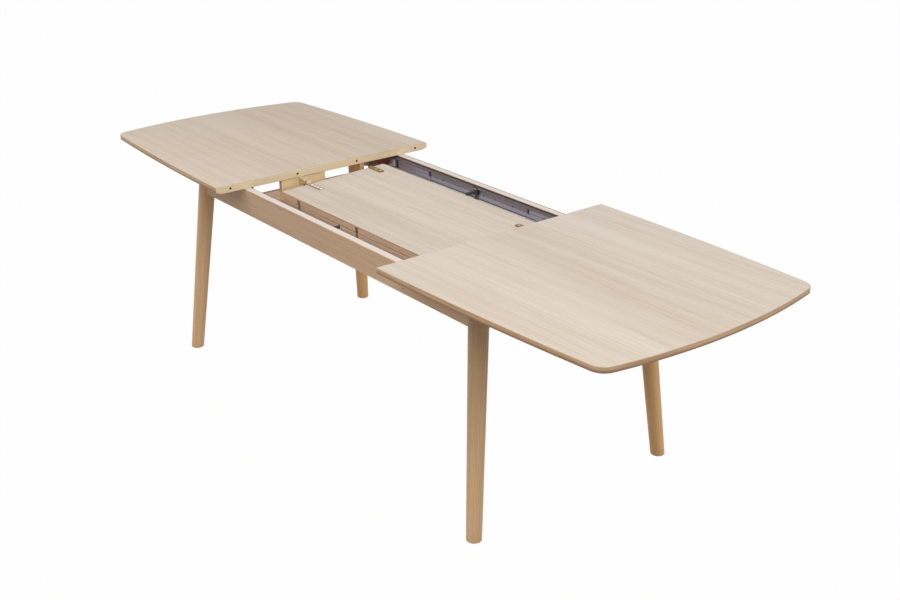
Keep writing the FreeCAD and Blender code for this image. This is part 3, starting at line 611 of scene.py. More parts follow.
def softwood(wood, name, axis, seed, light, dark):
    """Plain planed softwood, unfinished."""
    net = Net(name)
    grain = net.place((seed * 0.05, seed * 0.021, seed * 0.033), GRAIN_TURN[axis])
    rings = wood_rings(net, grain, wood.ring, seed, (0.12, -0.2))
    fibre, pore = wood_fibres(net, grain, seed)
    saw = net.streaks(grain, (520, 6, 6), 2, 0.5, seed + 9)
    colour = net.mix(net.step(rings * 0.75 + fibre * 0.3, 0.2, 1.0), light, dark)
    colour = net.mix(pore * 0.12, colour, scaled(dark, 0.7))
    height = fibre * 0.4 + saw * 0.35 + rings * 0.2
    return net.finish(colour, fibre * 0.12 + 0.60, height, 0.0002, Specular_IOR_Level=0.3)


def plywood(wood, name, seed):
    """Plywood with its layers showing on the edges."""
    net = Net(name)
    grain = net.place((seed * 0.05, 0, 0), GRAIN_TURN["y"])
    rings = wood_rings(net, grain, 0.011, seed, (0.02, -0.35))
    fibre, pore = wood_fibres(net, grain, seed)
    face = net.mix(net.step(rings * 0.55 + fibre * 0.5, 0.25, 0.95), wood.ply, wood.ply_dark)
    face = net.mix(pore * 0.15, face, scaled(wood.ply_dark, 0.6))
    x, y, z = net.split(net.place())
    odd = net.maths("FLOORED_MODULO", net.maths("FLOOR", x / wood.ply_layer), 2)
    speck = net.streaks(grain, (900, 900, 900), 2, 0.6, seed)
    rim = net.mix(odd * 0.65 + speck * 0.35, wood.ply, wood.ply_dark)
    flat = net.step(abs(net.facing()[0]), 0.6, 0.8)
    colour = net.mix(flat, rim, face)
    # a dark sunken spot beside the plate
    hole = net.pocket(y, z, (-0.0985, 0.6865), (0.0045, 0.0055)) * flat
    colour = net.mix(hole * 0.9, colour, scaled(wood.ply_dark, 0.12))
    height = fibre * 0.5 + odd * (1 - flat) * 0.8 - hole * 3
    return net.finish(colour, fibre * 0.12 + 0.55, height, 0.0002, Specular_IOR_Level=0.3)


# ---- metals, plastic and felt ----
def slide_steel(metal, name, seed, height, dull=0.0):
    """Plated sheet steel drawn lengthwise, with grease and painted shade in its raceways, painted
    shade in its middle groove and a painted highlight on its lower ledges; dull gives the share of
    painted shade, brown and dark, on its upper half.
    """
    net = Net(name)
    grain = net.place((seed * 0.3, 0, 0))
    drawn = net.streaks(grain, (3, 900, 900), 3, 0.6, seed)
    spangle = net.noise(grain, 420, 2, 0.5, seed + 1)
    smear = net.step(net.streaks(grain, (7, 60, 60), 3, 0.5, seed + 2), 0.5, 0.75)
    z = net.split(net.place())[2]
    from_middle = abs(z - SLIDE_Z)
    grease_and_shade = net.step(from_middle, height * 0.30, height * 0.40)
    groove = 1 - net.step(from_middle, 0.0016, 0.0030)
    base = metal.slide
    colour = net.mix(drawn * 0.45 + spangle * 0.2, base, scaled(base, 0.5))
    # the raceways are darkened, partly as grease and partly as painted shade, and the middle groove
    # gets painted shade
    for share, level in ((smear * 0.4, 0.42), (grease_and_shade * 0.75, 0.20), (groove * 0.45, 0.30)):
        colour = net.mix(share, colour, scaled(base, level))
    # painted shade: the upper half turns dark and brown by the given share
    upper = net.step(z, SLIDE_Z - 0.002, SLIDE_Z + 0.003)
    colour = net.mix(upper * dull, colour, metal.dull)
    # painted highlight: up-facing faces of the lower half, the lower flanges, are made far brighter
    faces_up = net.step(net.facing()[2], 0.6, 0.9)
    lit_ledge = faces_up * (1 - net.step(z, SLIDE_Z - 0.002, SLIDE_Z + 0.002))
    colour = net.mix(lit_ledge * 0.9, colour, scaled(base, 2.9))
    rough = drawn * 0.16 + 0.34 + smear * 0.12 + grease_and_shade * 0.1
    return net.finish(colour, rough, drawn * 0.2 - groove, 0.00025, metal=0.55)


def plated(rgb, name, seed, wear=0.3, metal=1.0, rough=0.24, rim=None, end=None):
    """Plated metal with fine brushing and worn edges; rim and end colour its Y and X faces by the
    way they face, as painted shade and painted light.
    """
    net = Net(name)
    grain = net.place((seed * 0.3, 0, 0))
    brush = net.streaks(grain, (60, 1100, 1100), 3, 0.6, seed)
    patch = net.step(net.noise(grain, 90, 4, 0.6, seed + 4), 0.42, 0.7)
    colour = net.mix(patch * 0.5 + brush * 0.2, rgb, scaled(rgb, 0.62))
    colour = net.mix(net.edge_wear(0.0006) * wear, colour, scaled(rgb, 1.25))
    if rim:
        nx, ny, _ = net.facing()
        colour = net.mix(net.step(abs(ny), 0.6, 0.9), colour, rim)
        colour = net.mix(net.step(abs(nx), 0.6, 0.9), colour, end)
    return net.finish(colour, brush * 0.18 + patch * 0.14 + rough, brush, 0.00004, metal=metal)


def moulded(rgb, name, seed, rough=0.42):
    """Moulded plastic with a fine spark texture and faint scuffs."""
    net = Net(name)
    where = net.place()
    spark = net.noise(where, 1400, 2, 0.5, seed)
    scuff = net.step(net.streaks(where, (90, 260, 260), 3, 0.6, seed + 2), 0.55, 0.8)
    light = tuple(c * 0.7 + 0.06 for c in rgb)
    colour = net.mix(scuff * 0.35 + spark * 0.1, rgb, light)
    return net.finish(colour, spark * 0.14 + rough + scuff * 0.1, spark, 0.00006)


def felted(rgb, name, seed):
    """Pressed felt."""
    net = Net(name)
    where = net.place()
    hair = net.noise(where, 900, 5, 0.75, seed)
    clump = net.noise(where, 160, 3, 0.6, seed + 1)
    colour = net.mix(hair * 0.6 + clump * 0.4, rgb, scaled(rgb, 0.5))
    return net.finish(colour, hair * 0.1 + 0.88, hair + clump, 0.0005, Sheen_Weight=0.3)


def dress(material, *names):
    """Gives CAD nodes their material."""
    for name in names:
        node = NODES[name]
        if not node.material_slots:
            node.data.materials.append(material)
        for slot in node.material_slots:
            slot.material = material


# ---- shapes ----
def spread(first, last, count):
    """Evenly spaced numbers, both ends among them."""
    return [first + (last - first) * i / (count - 1) for i in range(count)]


def around(count):
    return [2 * math.pi * i / count for i in range(count)]


def on_circle(centre, radius, angles):
    return [Vector(centre) + Vector((math.cos(a), math.sin(a))) * radius for a in angles]


def rounded(corners, radius, steps=6, closed=True):
    """A flat outline whose corners are arcs."""
    corners = [Vector(c) for c in corners]
    radii = radius if isinstance(radius, list) else [radius] * len(corners)
    if not closed:
        radii[0] = radii[-1] = 0
    line = []
    for i, corner in enumerate(corners):
        if not radii[i]:
            line.append(corner)
            continue
        to_last = (corners[i - 1] - corner).normalized()
        to_next = (corners[(i + 1) % len(corners)] - corner).normalized()
        half = to_last.angle(to_next) / 2
        centre = corner + (to_last + to_next).normalized() * (radii[i] / math.sin(half))
        back = radii[i] / math.tan(half)
        first = corner + to_last * back - centre
        last = corner + to_next * back - centre
        start = math.atan2(first.y, first.x)
        sweep = (math.atan2(last.y, last.x) - start + math.pi) % (2 * math.pi) - math.pi
        line += on_circle(centre, radii[i], spread(start, start + sweep, steps + 1))
    return line


def rectangle(x0, x1, y0, y1):
    return [(x0, y0), (x1, y0), (x1, y1), (x0, y1)]


def sheet_section(line, thick):
    """The closed section of a sheet bent along a line."""
    sides = []
    for i in range(len(line)):
        way = (line[min(i + 1, len(line) - 1)] - line[max(i - 1, 0)]).normalized()
        sides.append(Vector((-way.y, way.x)) * thick / 2)
    return [p + s for p, s in zip(line, sides)] + [p - s for p, s in zip(line, sides)][::-1]


def lofted(rings):
    """Points and faces of a closed skin through rings of equal count."""
    count = len(rings[0])
    points = [p for ring in rings for p in ring]
    faces = [tuple(range(count)), tuple(range(len(points) - count, len(points)))]
    for i in range(len(rings) - 1):
        for j in range(count):
            a = i * count + j
            b = i * count + (j + 1) % count
            faces.append((a, b, b + count, a + count))
    return points, faces


def prism(outline, start, end, place):
    """A flat outline drawn out between two depths; place turns the three numbers into a point."""
    return lofted([[place(p[0], p[1], depth) for p in outline] for depth in (start, end)])


def upright(u, v, w):
    return Vector((u, v, w))


def along_x(u, v, w):
    return Vector((w, u, v))


def round_bar(centre, radius, start, end, sides=32):
    """A round bar along X."""
    return prism(on_circle(centre, radius, around(sides)), start, end, along_x)


def tube(path, radius, sides=20, dome=4):
    """A round bar along a path in one upright plane across Y, with domed ends."""
    rings = []
    last = len(path) - 1
    side = Vector((0, 1, 0))
    for i, point in enumerate(path):
        way = (path[min(i + 1, last)] - path[max(i - 1, 0)]).normalized()
        up = way.cross(side)
        turns = [0]
        if i in (0, last):
            turns = [math.pi / 2 * k / dome for k in range(dome)]
        if i == 0:
            turns = [-t for t in turns[::-1]]
        for turn in turns:
            centre = point + way * (radius * math.sin(turn))
            size = radius * math.cos(turn)
            rings.append([
                centre + (side * math.cos(a) + up * math.sin(a)) * size for a in around(sides)
            ])
    return lofted(rings)


def shell(name, parts, material=None):
    """One object from closed skins, facing outwards."""
    mesh = bpy.data.meshes.new(name)
    work = bmesh.new()
    for points, faces in parts:
        corners = [work.verts.new(p) for p in points]
        for face in faces:
            work.faces.new([corners[i] for i in face])
    bmesh.ops.recalc_face_normals(work, faces=work.faces)
    work.to_mesh(mesh)
    work.free()
    if material:
        mesh.materials.append(material)
    return shown(name, mesh)


def shown(name, data):
    """An object in the scene."""
    made = bpy.data.objects.new(name, data)
    bpy.context.scene.collection.objects.link(made)
    return made


def trim(made, parts, operation="DIFFERENCE"):
    """Cuts closed skins out of an object, or joins them to it."""
    tool = shell("cutter", parts)
    step = made.modifiers.new("trim", "BOOLEAN")
    step.operation = operation
    step.solver = "EXACT"
    step.object = tool
    settle(made)
    bpy.data.objects.remove(tool)


def soften(made, width, segments=2):
    """Rounds an object's sharp edges."""
    step = made.modifiers.new("soften", "BEVEL")
    step.width = width
    step.segments = segments
    step.limit_method = "ANGLE"
    step.angle_limit = math.radians(40)
    return settle(made)


def settle(made, flat_over=1.0):
    """Keeps what the modifiers make as the mesh, smooth but for sharp edges and wide flats."""
    if made.modifiers:
        graph = bpy.context.evaluated_depsgraph_get()
        mesh = bpy.data.meshes.new_from_object(made.evaluated_get(graph))
        old = made.data
        made.modifiers.clear()
        made.data = mesh
        bpy.data.meshes.remove(old)
        mesh.name = made.name
    for face in made.data.polygons:
        face.use_smooth = face.area < flat_over
    made.data.set_sharp_from_angle(angle=math.radians(32))
    return made


def one_object(name, parts):
    """Joins finished objects into one."""
    whole = parts[0]
    with bpy.context.temp_override(active_object=whole, selected_editable_objects=parts):
        bpy.ops.object.join()
    whole.name = name
    whole.data.name = name
    return whole


def stand_for(made, body, slot, *nodes):
    """Says what a finished piece rides on and the nodes it stands for; its finish is not used."""
    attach(made, body)
    if nodes:
        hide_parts(*nodes)


# ---- repeated parts ----
class Grow(Tree):
    """A geometry tree that sets one part on points, each facing the way its point carries."""

    def __init__(self, name, **sizes):
        super().__init__(bpy.data.node_groups.new(name, "GeometryNodeTree"))
        self.keys = {}
        self.add_socket("Geometry", "Geometry", "OUTPUT")
        self.add_socket("Places", "Geometry")
        for key, value in sizes.items():
            kind = "Int" if isinstance(value, int) else "Float"
            self.add_socket(key, kind).default_value = value
        self.add_socket("Material", "Material")
        self.start = self.node("NodeGroupInput")

    def __getitem__(self, name):
        return self.wire(self.start, name)

    def add_socket(self, name, kind, way="INPUT"):
        made = self.tree.interface.new_socket(
            name=name, in_out=way, socket_type="NodeSocket" + kind
        )
        self.keys[name] = made.identifier
        return made

    def cone(self, sides, top, bottom, depth, lift=0.0):
        """A cone or bar that stands on its own foot, lifted."""
        inputs = {"Vertices": sides, "Radius Top": top, "Radius Bottom": bottom, "Depth": depth}
        made = self.get("GeometryNodeMeshCone", inputs)
        inputs = {"Geometry": made, "Translation": self.join(0, 0, lift)}
        return self.get("GeometryNodeTransform", inputs)

    def whole(self, operation, *parts):
        """Solids joined, cut or crossed."""
        inputs = {1: list(parts)}
        if operation == "DIFFERENCE":
            inputs = {0: parts[0], 1: list(parts[1:])}
        return self.get(
            "GeometryNodeMeshBoolean", inputs, operation=operation, solver="EXACT"
        )

    def spread_out(self, part, seed):
        """Sets the part on every point, spun by chance, and ends the tree."""
        way = self.get(
            "GeometryNodeInputNamedAttribute", {"Name": "way"}, data_type="FLOAT_VECTOR"
        )
        facing = self.get("FunctionNodeAlignRotationToVector", {"Vector": way}, axis="Z")
        inputs = {2: 0.0, 3: math.tau, "Seed": seed}
        chance = self.wire(self.node("FunctionNodeRandomValue", inputs, data_type="FLOAT"), 1)
        inputs = {"Axis": (0, 0, 1), "Angle": chance}
        spin = self.get("FunctionNodeAxisAngleToRotation", inputs)
        inputs = {"Rotation": facing, "Rotate By": spin}
        turn = self.get("FunctionNodeRotateRotation", inputs, rotation_space="LOCAL")
        inputs = {"Points": self["Places"], "Instance": part, "Rotation": turn}
        copies = self.get("GeometryNodeInstanceOnPoints", inputs)
        solid = self.get("GeometryNodeRealizeInstances", {"Geometry": copies})
        inputs = {"Geometry": solid, "Material": self["Material"]}
        self.node("NodeGroupOutput", {0: self.get("GeometryNodeSetMaterial", inputs)})
        return self


def screw_tree(name, seed):
    """Domed screws with a cross recess, a sunk neck and a plain shank."""
    grow = Grow(
        name, head=0.004, dome=0.0004, neck=0.0015, shank=0.002, length=0.0145,
        recess=0.0009, recess_depth=0.0008, sides=28
    )
    head, neck, shank, sides = (grow[key] for key in ("head", "neck", "shank", "sides"))
    ball = grow.get(
        "GeometryNodeMeshUVSphere", {"Segments": sides, "Rings": 14, "Radius": head}
    )
    flat = grow.join(1, 1, grow["dome"] / head)
    cap = grow.get("GeometryNodeTransform", {"Geometry": ball, "Scale": flat})
    cone = grow.cone(sides, head * 0.97, shank, neck, neck * -1)
    low = (neck * 0.9 + grow["length"]) * -1
    bar = grow.cone(sides, shank * 0.98, shank * 0.6, grow["length"], low)
    solid = grow.whole("UNION", cap, cone, bar)
    slots = []
    for size in ((head * 1.15, grow["recess"]), (grow["recess"], head * 1.15)):
        size = grow.join(*size, grow["recess_depth"] * 2)
        cube = grow.get("GeometryNodeMeshCube", {"Size": size})
        inputs = {"Geometry": cube, "Translation": grow.join(0, 0, grow["dome"])}
        slots.append(grow.get("GeometryNodeTransform", inputs))
    return grow.spread_out(grow.whole("DIFFERENCE", solid, *slots), seed)


def peg_tree(name, seed):
    """Round bars with rounded ends and shallow flutes, centred on their points."""
    grow = Grow(
        name, radius=0.004, length=0.036, round=0.0012, flute_depth=0.00025,
        flutes=12, sides=48, steps=18
    )
    inputs = {
        "Vertices": grow["sides"], "Side Segments": grow["steps"], "Radius": 1.0, "Depth": 2.0
    }
    bar = grow.get("GeometryNodeMeshCylinder", inputs)
    x, y, z = grow.split(grow.get("GeometryNodeInputPosition"))
    half = grow["length"] / 2
    # rings crowd towards the ends, where the rounding is
    level = grow.maths("SINE", z * (math.pi / 2)) * half
    past = grow.clamp((abs(level) - half + grow["round"]) / grow["round"])
    drop = (1 - grow.maths("SQRT", 1 - past * past)) * grow["round"]
    wave = (1 - grow.maths("COSINE", grow.maths("ARCTAN2", y, x) * grow["flutes"])) / 2
    size = grow["radius"] - drop * 0.9 - wave * grow["flute_depth"] * (1 - past)
    inputs = {"Geometry": bar, "Position": grow.join(x * size, y * size, level)}
    return grow.spread_out(grow.get("GeometryNodeSetPosition", inputs), seed)


def bolt_tree(name, seed):
    """Hexagon bolts with a washer under the head."""
    grow = Grow(
        name, across=0.0075, head=0.0055, washer=0.011, washer_thickness=0.0016,
        shank=0.0038, length=0.06, sides=36
    )
    sides, lift, across = grow["sides"], grow["washer_thickness"], grow["across"]
    washer = grow.cone(sides, grow["washer"] * 0.97, grow["washer"], lift)
    corner = across * 1.1547
    hexagon = grow.cone(6, corner, corner, grow["head"] + lift * 0.5, lift * 0.5)
    # a wide cone trims the hexagon's upper corners
    deep = grow["head"] + lift * 0.6
    crown = grow.cone(sides, across * 0.93, across * 1.6, deep, lift * 0.4)
    head = grow.whole("INTERSECT", hexagon, crown)
    deep = grow["length"] + lift * 0.5
    bar = grow.cone(sides, grow["shank"], grow["shank"] * 0.9, deep, grow["length"] * -1)
    return grow.spread_out(grow.whole("UNION", washer, head, bar), seed)


def set_out(name, grow, places, sizes, material):
    """Runs a tree on places, each a point and the way it faces, into a plain mesh."""
    mesh = bpy.data.meshes.new(name)
    mesh.from_pydata([tuple(point) for point, way in places], [], [])
    ways = mesh.attributes.new("way", "FLOAT_VECTOR", "POINT")
    for item, (point, way) in zip(ways.data, places):
        item.vector = way
    made = shown(name, mesh)
    step = made.modifiers.new("set out", "NODES")
    step.node_group = grow.tree
    for key, value in sizes.items():
        step[grow.keys[key]] = value
    step[grow.keys["Material"]] = material
    return settle(made)


# ---- pieces ----
class TablePiece:
    """What every operator of the table shares."""

    bl_options = {"REGISTER", "UNDO"}

    @classmethod
    def poll(cls, context):
        return bool(NODES)


def about(point, angle):
    """A turn about an axis along X through a point."""
    point = Vector(point)
    spin = Matrix.Rotation(angle, 4, "X")
    return Matrix.Translation(point) @ spin @ Matrix.Translation(-point)


def folded_leaf(fit):
    """From the leaf's front half in use to its folded place in the well."""
    return about((0, -fit.pivot_y, fit.pivot_z), fit.tilt - math.pi)


def folded_half(fit):
    """From the leaf's back half in use to its place on the front half."""
    level = TOP_HIGH.z - fit.hinge_drop
    first, second = (
        about((0, side * fit.hinge_half, level), math.pi / 2) for side in (1, -1)
    )
    return second @ first


def strap_starts(fit):
    """Where each pivot strap and each rest strap begins under the leaf."""
    end = LEAF_HIGH.x
    return {
        "left": (end - fit.strap_left, end - fit.rest_left),
        "right": (end - fit.strap_right, end - fit.rest_right),
    }


def slide_screw_places(slide):
    """Where the screws of one fixed member lie along it."""
    start = slide.start
    return [start + slide.screw_near, start + slide.screw_mid, FIXED_HIGH.x - slide.screw_far]


class TABLE_OT_tops(TablePiece, bpy.types.Operator):
    """Shape and veneer the two sliding halves of the top"""

    bl_idname = "table.tops"
    bl_label = "Top Halves"

    @staticmethod
    def outline(top, inset, seam):
        """The boat-shaped outline of a half, drawn in by an inset, from its seam."""
        side_r = ((top.length - top.end_bow) ** 2 + top.side_bow ** 2) / (2 * top.side_bow)
        chord = top.half_width - top.side_bow
        end_r = (chord ** 2 + top.end_bow ** 2) / (2 * top.end_bow)
        side_c = Vector((0, top.half_width - side_r))
        end_c = Vector((top.length - end_r, 0))
        gap = end_c - side_c
        r0, r1 = side_r - top.corner, end_r - top.corner
        along = (r0 ** 2 - r1 ** 2 + gap.length_squared) / (2 * gap.length)
        across = math.sqrt(r0 ** 2 - along ** 2)
        way = gap.normalized()
        corner = side_c + way * along + Vector((way.y, -way.x)) * across
        side_turn, end_turn = (
            math.atan2(corner.y - centre.y, corner.x - centre.x) for centre in (side_c, end_c)
        )
        first = math.acos(seam / (side_r - inset))
        half = on_circle(side_c, side_r - inset, spread(first, side_turn, 33))
        half += on_circle(corner, top.corner - inset, spread(side_turn, end_turn, 17))[1:]
        half += on_circle(end_c, end_r - inset, spread(end_turn, 0, 21))[1:]
        return half + [Vector((p.x, -p.y)) for p in half[-2::-1]]

    def execute(self, context):
        oak, top = context.scene.table_oak, context.scene.table_top
        pull = TOP_LOW.x - top.seam_gap
        low, high = TOP_LOW.z, TOP_HIGH.z
        levels = [(top.bevel_in, low), (0, low + top.bevel_up), (0, high - top.ease)]
        for turn in spread(0, math.pi / 2, 6)[1:]:
            levels.append((top.ease * (1 - math.cos(turn)), high - top.ease * (1 - math.sin(turn))))
        rows = [y * sign for y in (top.inner_row, top.outer_row) for sign in SIGNS]
        looks = {
            "left": ((oak.warm, oak.warm_dark), top.socket, top.socket_depth),
            "right": ((oak.veneer, oak.veneer_dark), top.dowel * 1.01, top.dowel_length * 0.62),
        }
        for seed, (side, sign) in enumerate(SIDES.items(), 1):
            rings = []
            for inset, z in levels:
                line = self.outline(top, inset, top.seam_gap + max(0, z - high + top.seam_ease))
                rings.append([Vector((sign * (p.x + pull), p.y, z)) for p in line])
            face, radius, depth = looks[side]
            material = oak_top(
                oak, "oak_top_" + side, seed, face, (oak.band, oak.band_dark), pull + top.seam_band
            )
            made = shell("top_half_" + side, [lofted(rings)], material)
            ends = (sign * (pull - 0.001), sign * (pull + depth))
            trim(made, [round_bar((y, (low + high) / 2), radius, *ends) for y in rows])
            settle(made, flat_over=0.02)
            stand_for(made, side + "_top", "oak_top", "top_panel_" + side)
        return {"FINISHED"}


class TABLE_OT_dowels(TablePiece, bpy.types.Operator):
    """Set out the fluted dowels of the top and the leaf"""

    bl_idname = "table.dowels"
    bl_label = "Dowels"

    def execute(self, context):
        scene = context.scene
        top, fit, wood = scene.table_top, scene.table_fitting, scene.table_wood
        material = plain_oak(
            scene.table_oak, "beech_dowel", "x", 9, (wood.dowel, wood.dowel_dark)
        )
        grow = peg_tree("fluted_dowels", 3)
        front = folded_leaf(fit)
        rows = (top.inner_row, top.outer_row)
        sets = (
            ("top_dowels", "right_top", Matrix.Identity(4), TOP_LOW.x, SIGNS),
            ("leaf_front_dowels", "leaf_front", front, LEAF_LOW.x, (-1,)),
            ("leaf_back_dowels", "leaf_back", front @ folded_half(fit), LEAF_LOW.x, (1,)),
        )
        sizes = {"radius": top.dowel, "length": top.dowel_length}
        for node, body, turn, seam, signs in sets:
            points = [
                Vector((seam + top.dowel_out, y * sign, (TOP_LOW.z + TOP_HIGH.z) / 2))
                for y in rows for sign in signs
            ]
            places = [(turn @ p, turn.to_3x3() @ X_AXIS) for p in points]
            made = set_out(node + "_fluted", grow, places, sizes, material)
            stand_for(made, body, "pine_inner", node)
        return {"FINISHED"}


class TABLE_OT_leaf(TablePiece, bpy.types.Operator):
    """Veneer the folding leaf"""

    bl_idname = "table.leaf"
    bl_label = "Folding Leaf"

    def execute(self, context):
        oak = context.scene.table_oak
        # painted shade: the back half's edges are painted 0.88 as bright as the front half's
        for seed, (face, level) in enumerate({"front": 1, "back": 0.88}.items(), 3):
            bands = [scaled(rgb, level) for rgb in (oak.leaf_band, oak.leaf_band_dark)]
            veneer = oak_top(oak, "oak_leaf_" + face, seed, (oak.veneer, oak.veneer_dark), bands)
            dress(veneer, "leaf_%s_panel" % face)
        return {"FINISHED"}


class TABLE_OT_legs(TablePiece, bpy.types.Operator):
    """Turn the four tapered legs"""

    bl_idname = "table.legs"
    bl_label = "Legs"

    def execute(self, context):
        oak, leg = context.scene.table_oak, context.scene.table_leg
        head = Vector((leg.head_x, leg.head_y, TOP_LOW.z))
        foot = head + Vector((leg.splay_x, leg.splay_y, -head.z))
        levels = [
            (leg.foot_ease * (1 - math.sin(t)), leg.pad + leg.foot_ease * (1 - math.cos(t)))
            for t in spread(0, math.pi / 2, 5)
        ]
        levels += [(0, z) for z in spread(leg.pad + leg.foot_ease, RAIL_HIGH.z, 25)[1:]]
        rail = (RAIL_LOW.z + RAIL_HIGH.z) / 2
        reach = foot.lerp(head, rail / head.z)
        high = (rail - leg.tenon_high / 2, rail + leg.tenon_high / 2)
        half = leg.tenon / 2
        deep = leg.head_r - leg.tenon_deep
        # each leg's wood, the back legs' with painted warm bounce light, and its level of painted
        # shade and light at the head and at the foot
        front, back = (oak.leg, oak.leg_dark), (oak.back_leg, oak.rear_leg_bounce_grain)
        woods = {
            "front_left": (front, (1.04, 1.24)), "front_right": (front, (0.70, 1.14)),
            "back_left": (back, (0.92, 1.46)), "back_right": (back, (0.76, 1.24)),
        }
        for seed, (where, (colours, fade)) in enumerate(woods.items(), 11):
            face, side = where.split("_")
            sx, sy = SIDES[side], FACES[face]
            rings = []
            for inset, z in levels:
                centre = foot.lerp(head, z / head.z)
                radius = leg.foot_r + (leg.head_r - leg.foot_r) * z / head.z - inset
                line = on_circle((sx * centre.x, sy * centre.y), radius, around(leg.sides))
                rings.append([Vector((p.x, p.y, z)) for p in line])
            way = Vector((sx * (head.x - foot.x), sy * (head.y - foot.y), head.z))
            turn = way.rotation_difference(X_AXIS).to_euler()
            start = turn.to_matrix() @ Vector((sx * foot.x, sy * foot.y, 0))
            shift = Vector((seed * 0.9, 0, 0)) - start
            material = plain_oak(
                oak, "oak_leg_" + where, "z", seed, colours, turn, shift, sway=0.012, fade=fade
            )
            made = shell("turned_leg_" + where, [lofted(rings)], material)
            spans = (
                (leg.tenon_x, reach.x - deep, RAIL_Y - half, RAIL_Y + half),
                (END_X - half, END_X + half, leg.tenon_y, reach.y - deep),
            )
            trim(made, [
                prism(rectangle(sx * x0, sx * x1, sy * y0, sy * y1), *high, upright)
                for x0, x1, y0, y1 in spans
            ])
            stand_for(made, "frame", "oak_solid", "leg_" + where)
        return {"FINISHED"}


class TABLE_OT_rails(TablePiece, bpy.types.Operator):
    """Finish the four rails"""

    bl_idname = "table.rails"
    bl_label = "Rails"

    def execute(self, context):
        oak = context.scene.table_oak
        for seed, face in enumerate(FACES, 20):
            dress(rail_oak(oak, "oak_rail_" + face, seed, RAIL_HIGH.y), "side_rail_" + face)
        for seed, side in enumerate(SIDES, 22):
            dress(plain_oak(oak, "oak_rail_" + side, "y", seed), "end_rail_" + side)
        return {"FINISHED"}


class TABLE_OT_inner(TablePiece, bpy.types.Operator):
    """Finish the softwood and plywood inside the frame"""

    bl_idname = "table.inner"
    bl_label = "Inner Frame"

    def execute(self, context):
        wood = context.scene.table_wood
        # the runners' dark red-brown is painted shade
        for name, axis, seed, light, dark, nodes in (
            ("runner_left", "x", 31, wood.runner, wood.runner_dark, "top_runners_left"),
            ("runner_right", "x", 32, wood.runner, wood.runner_dark, "top_runners_right"),
            ("cross_left", "y", 33, wood.cross, wood.cross_dark, "cross_member_left"),
            ("cross_right", "y", 34, wood.cross, wood.cross_dark, "cross_member_right"),
            ("pine_block", "x", 35, wood.pine, wood.pine_dark, "corner_blocks"),
            ("pine_post", "z", 36, wood.pine, wood.pine_dark, "rest_posts"),
        ):
            dress(softwood(wood, name, axis, seed, light, dark), nodes)
        for seed, side in enumerate(SIDES, 37):
            dress(plywood(wood, "ply_board_" + side, seed), "pivot_board_" + side)
        return {"FINISHED"}


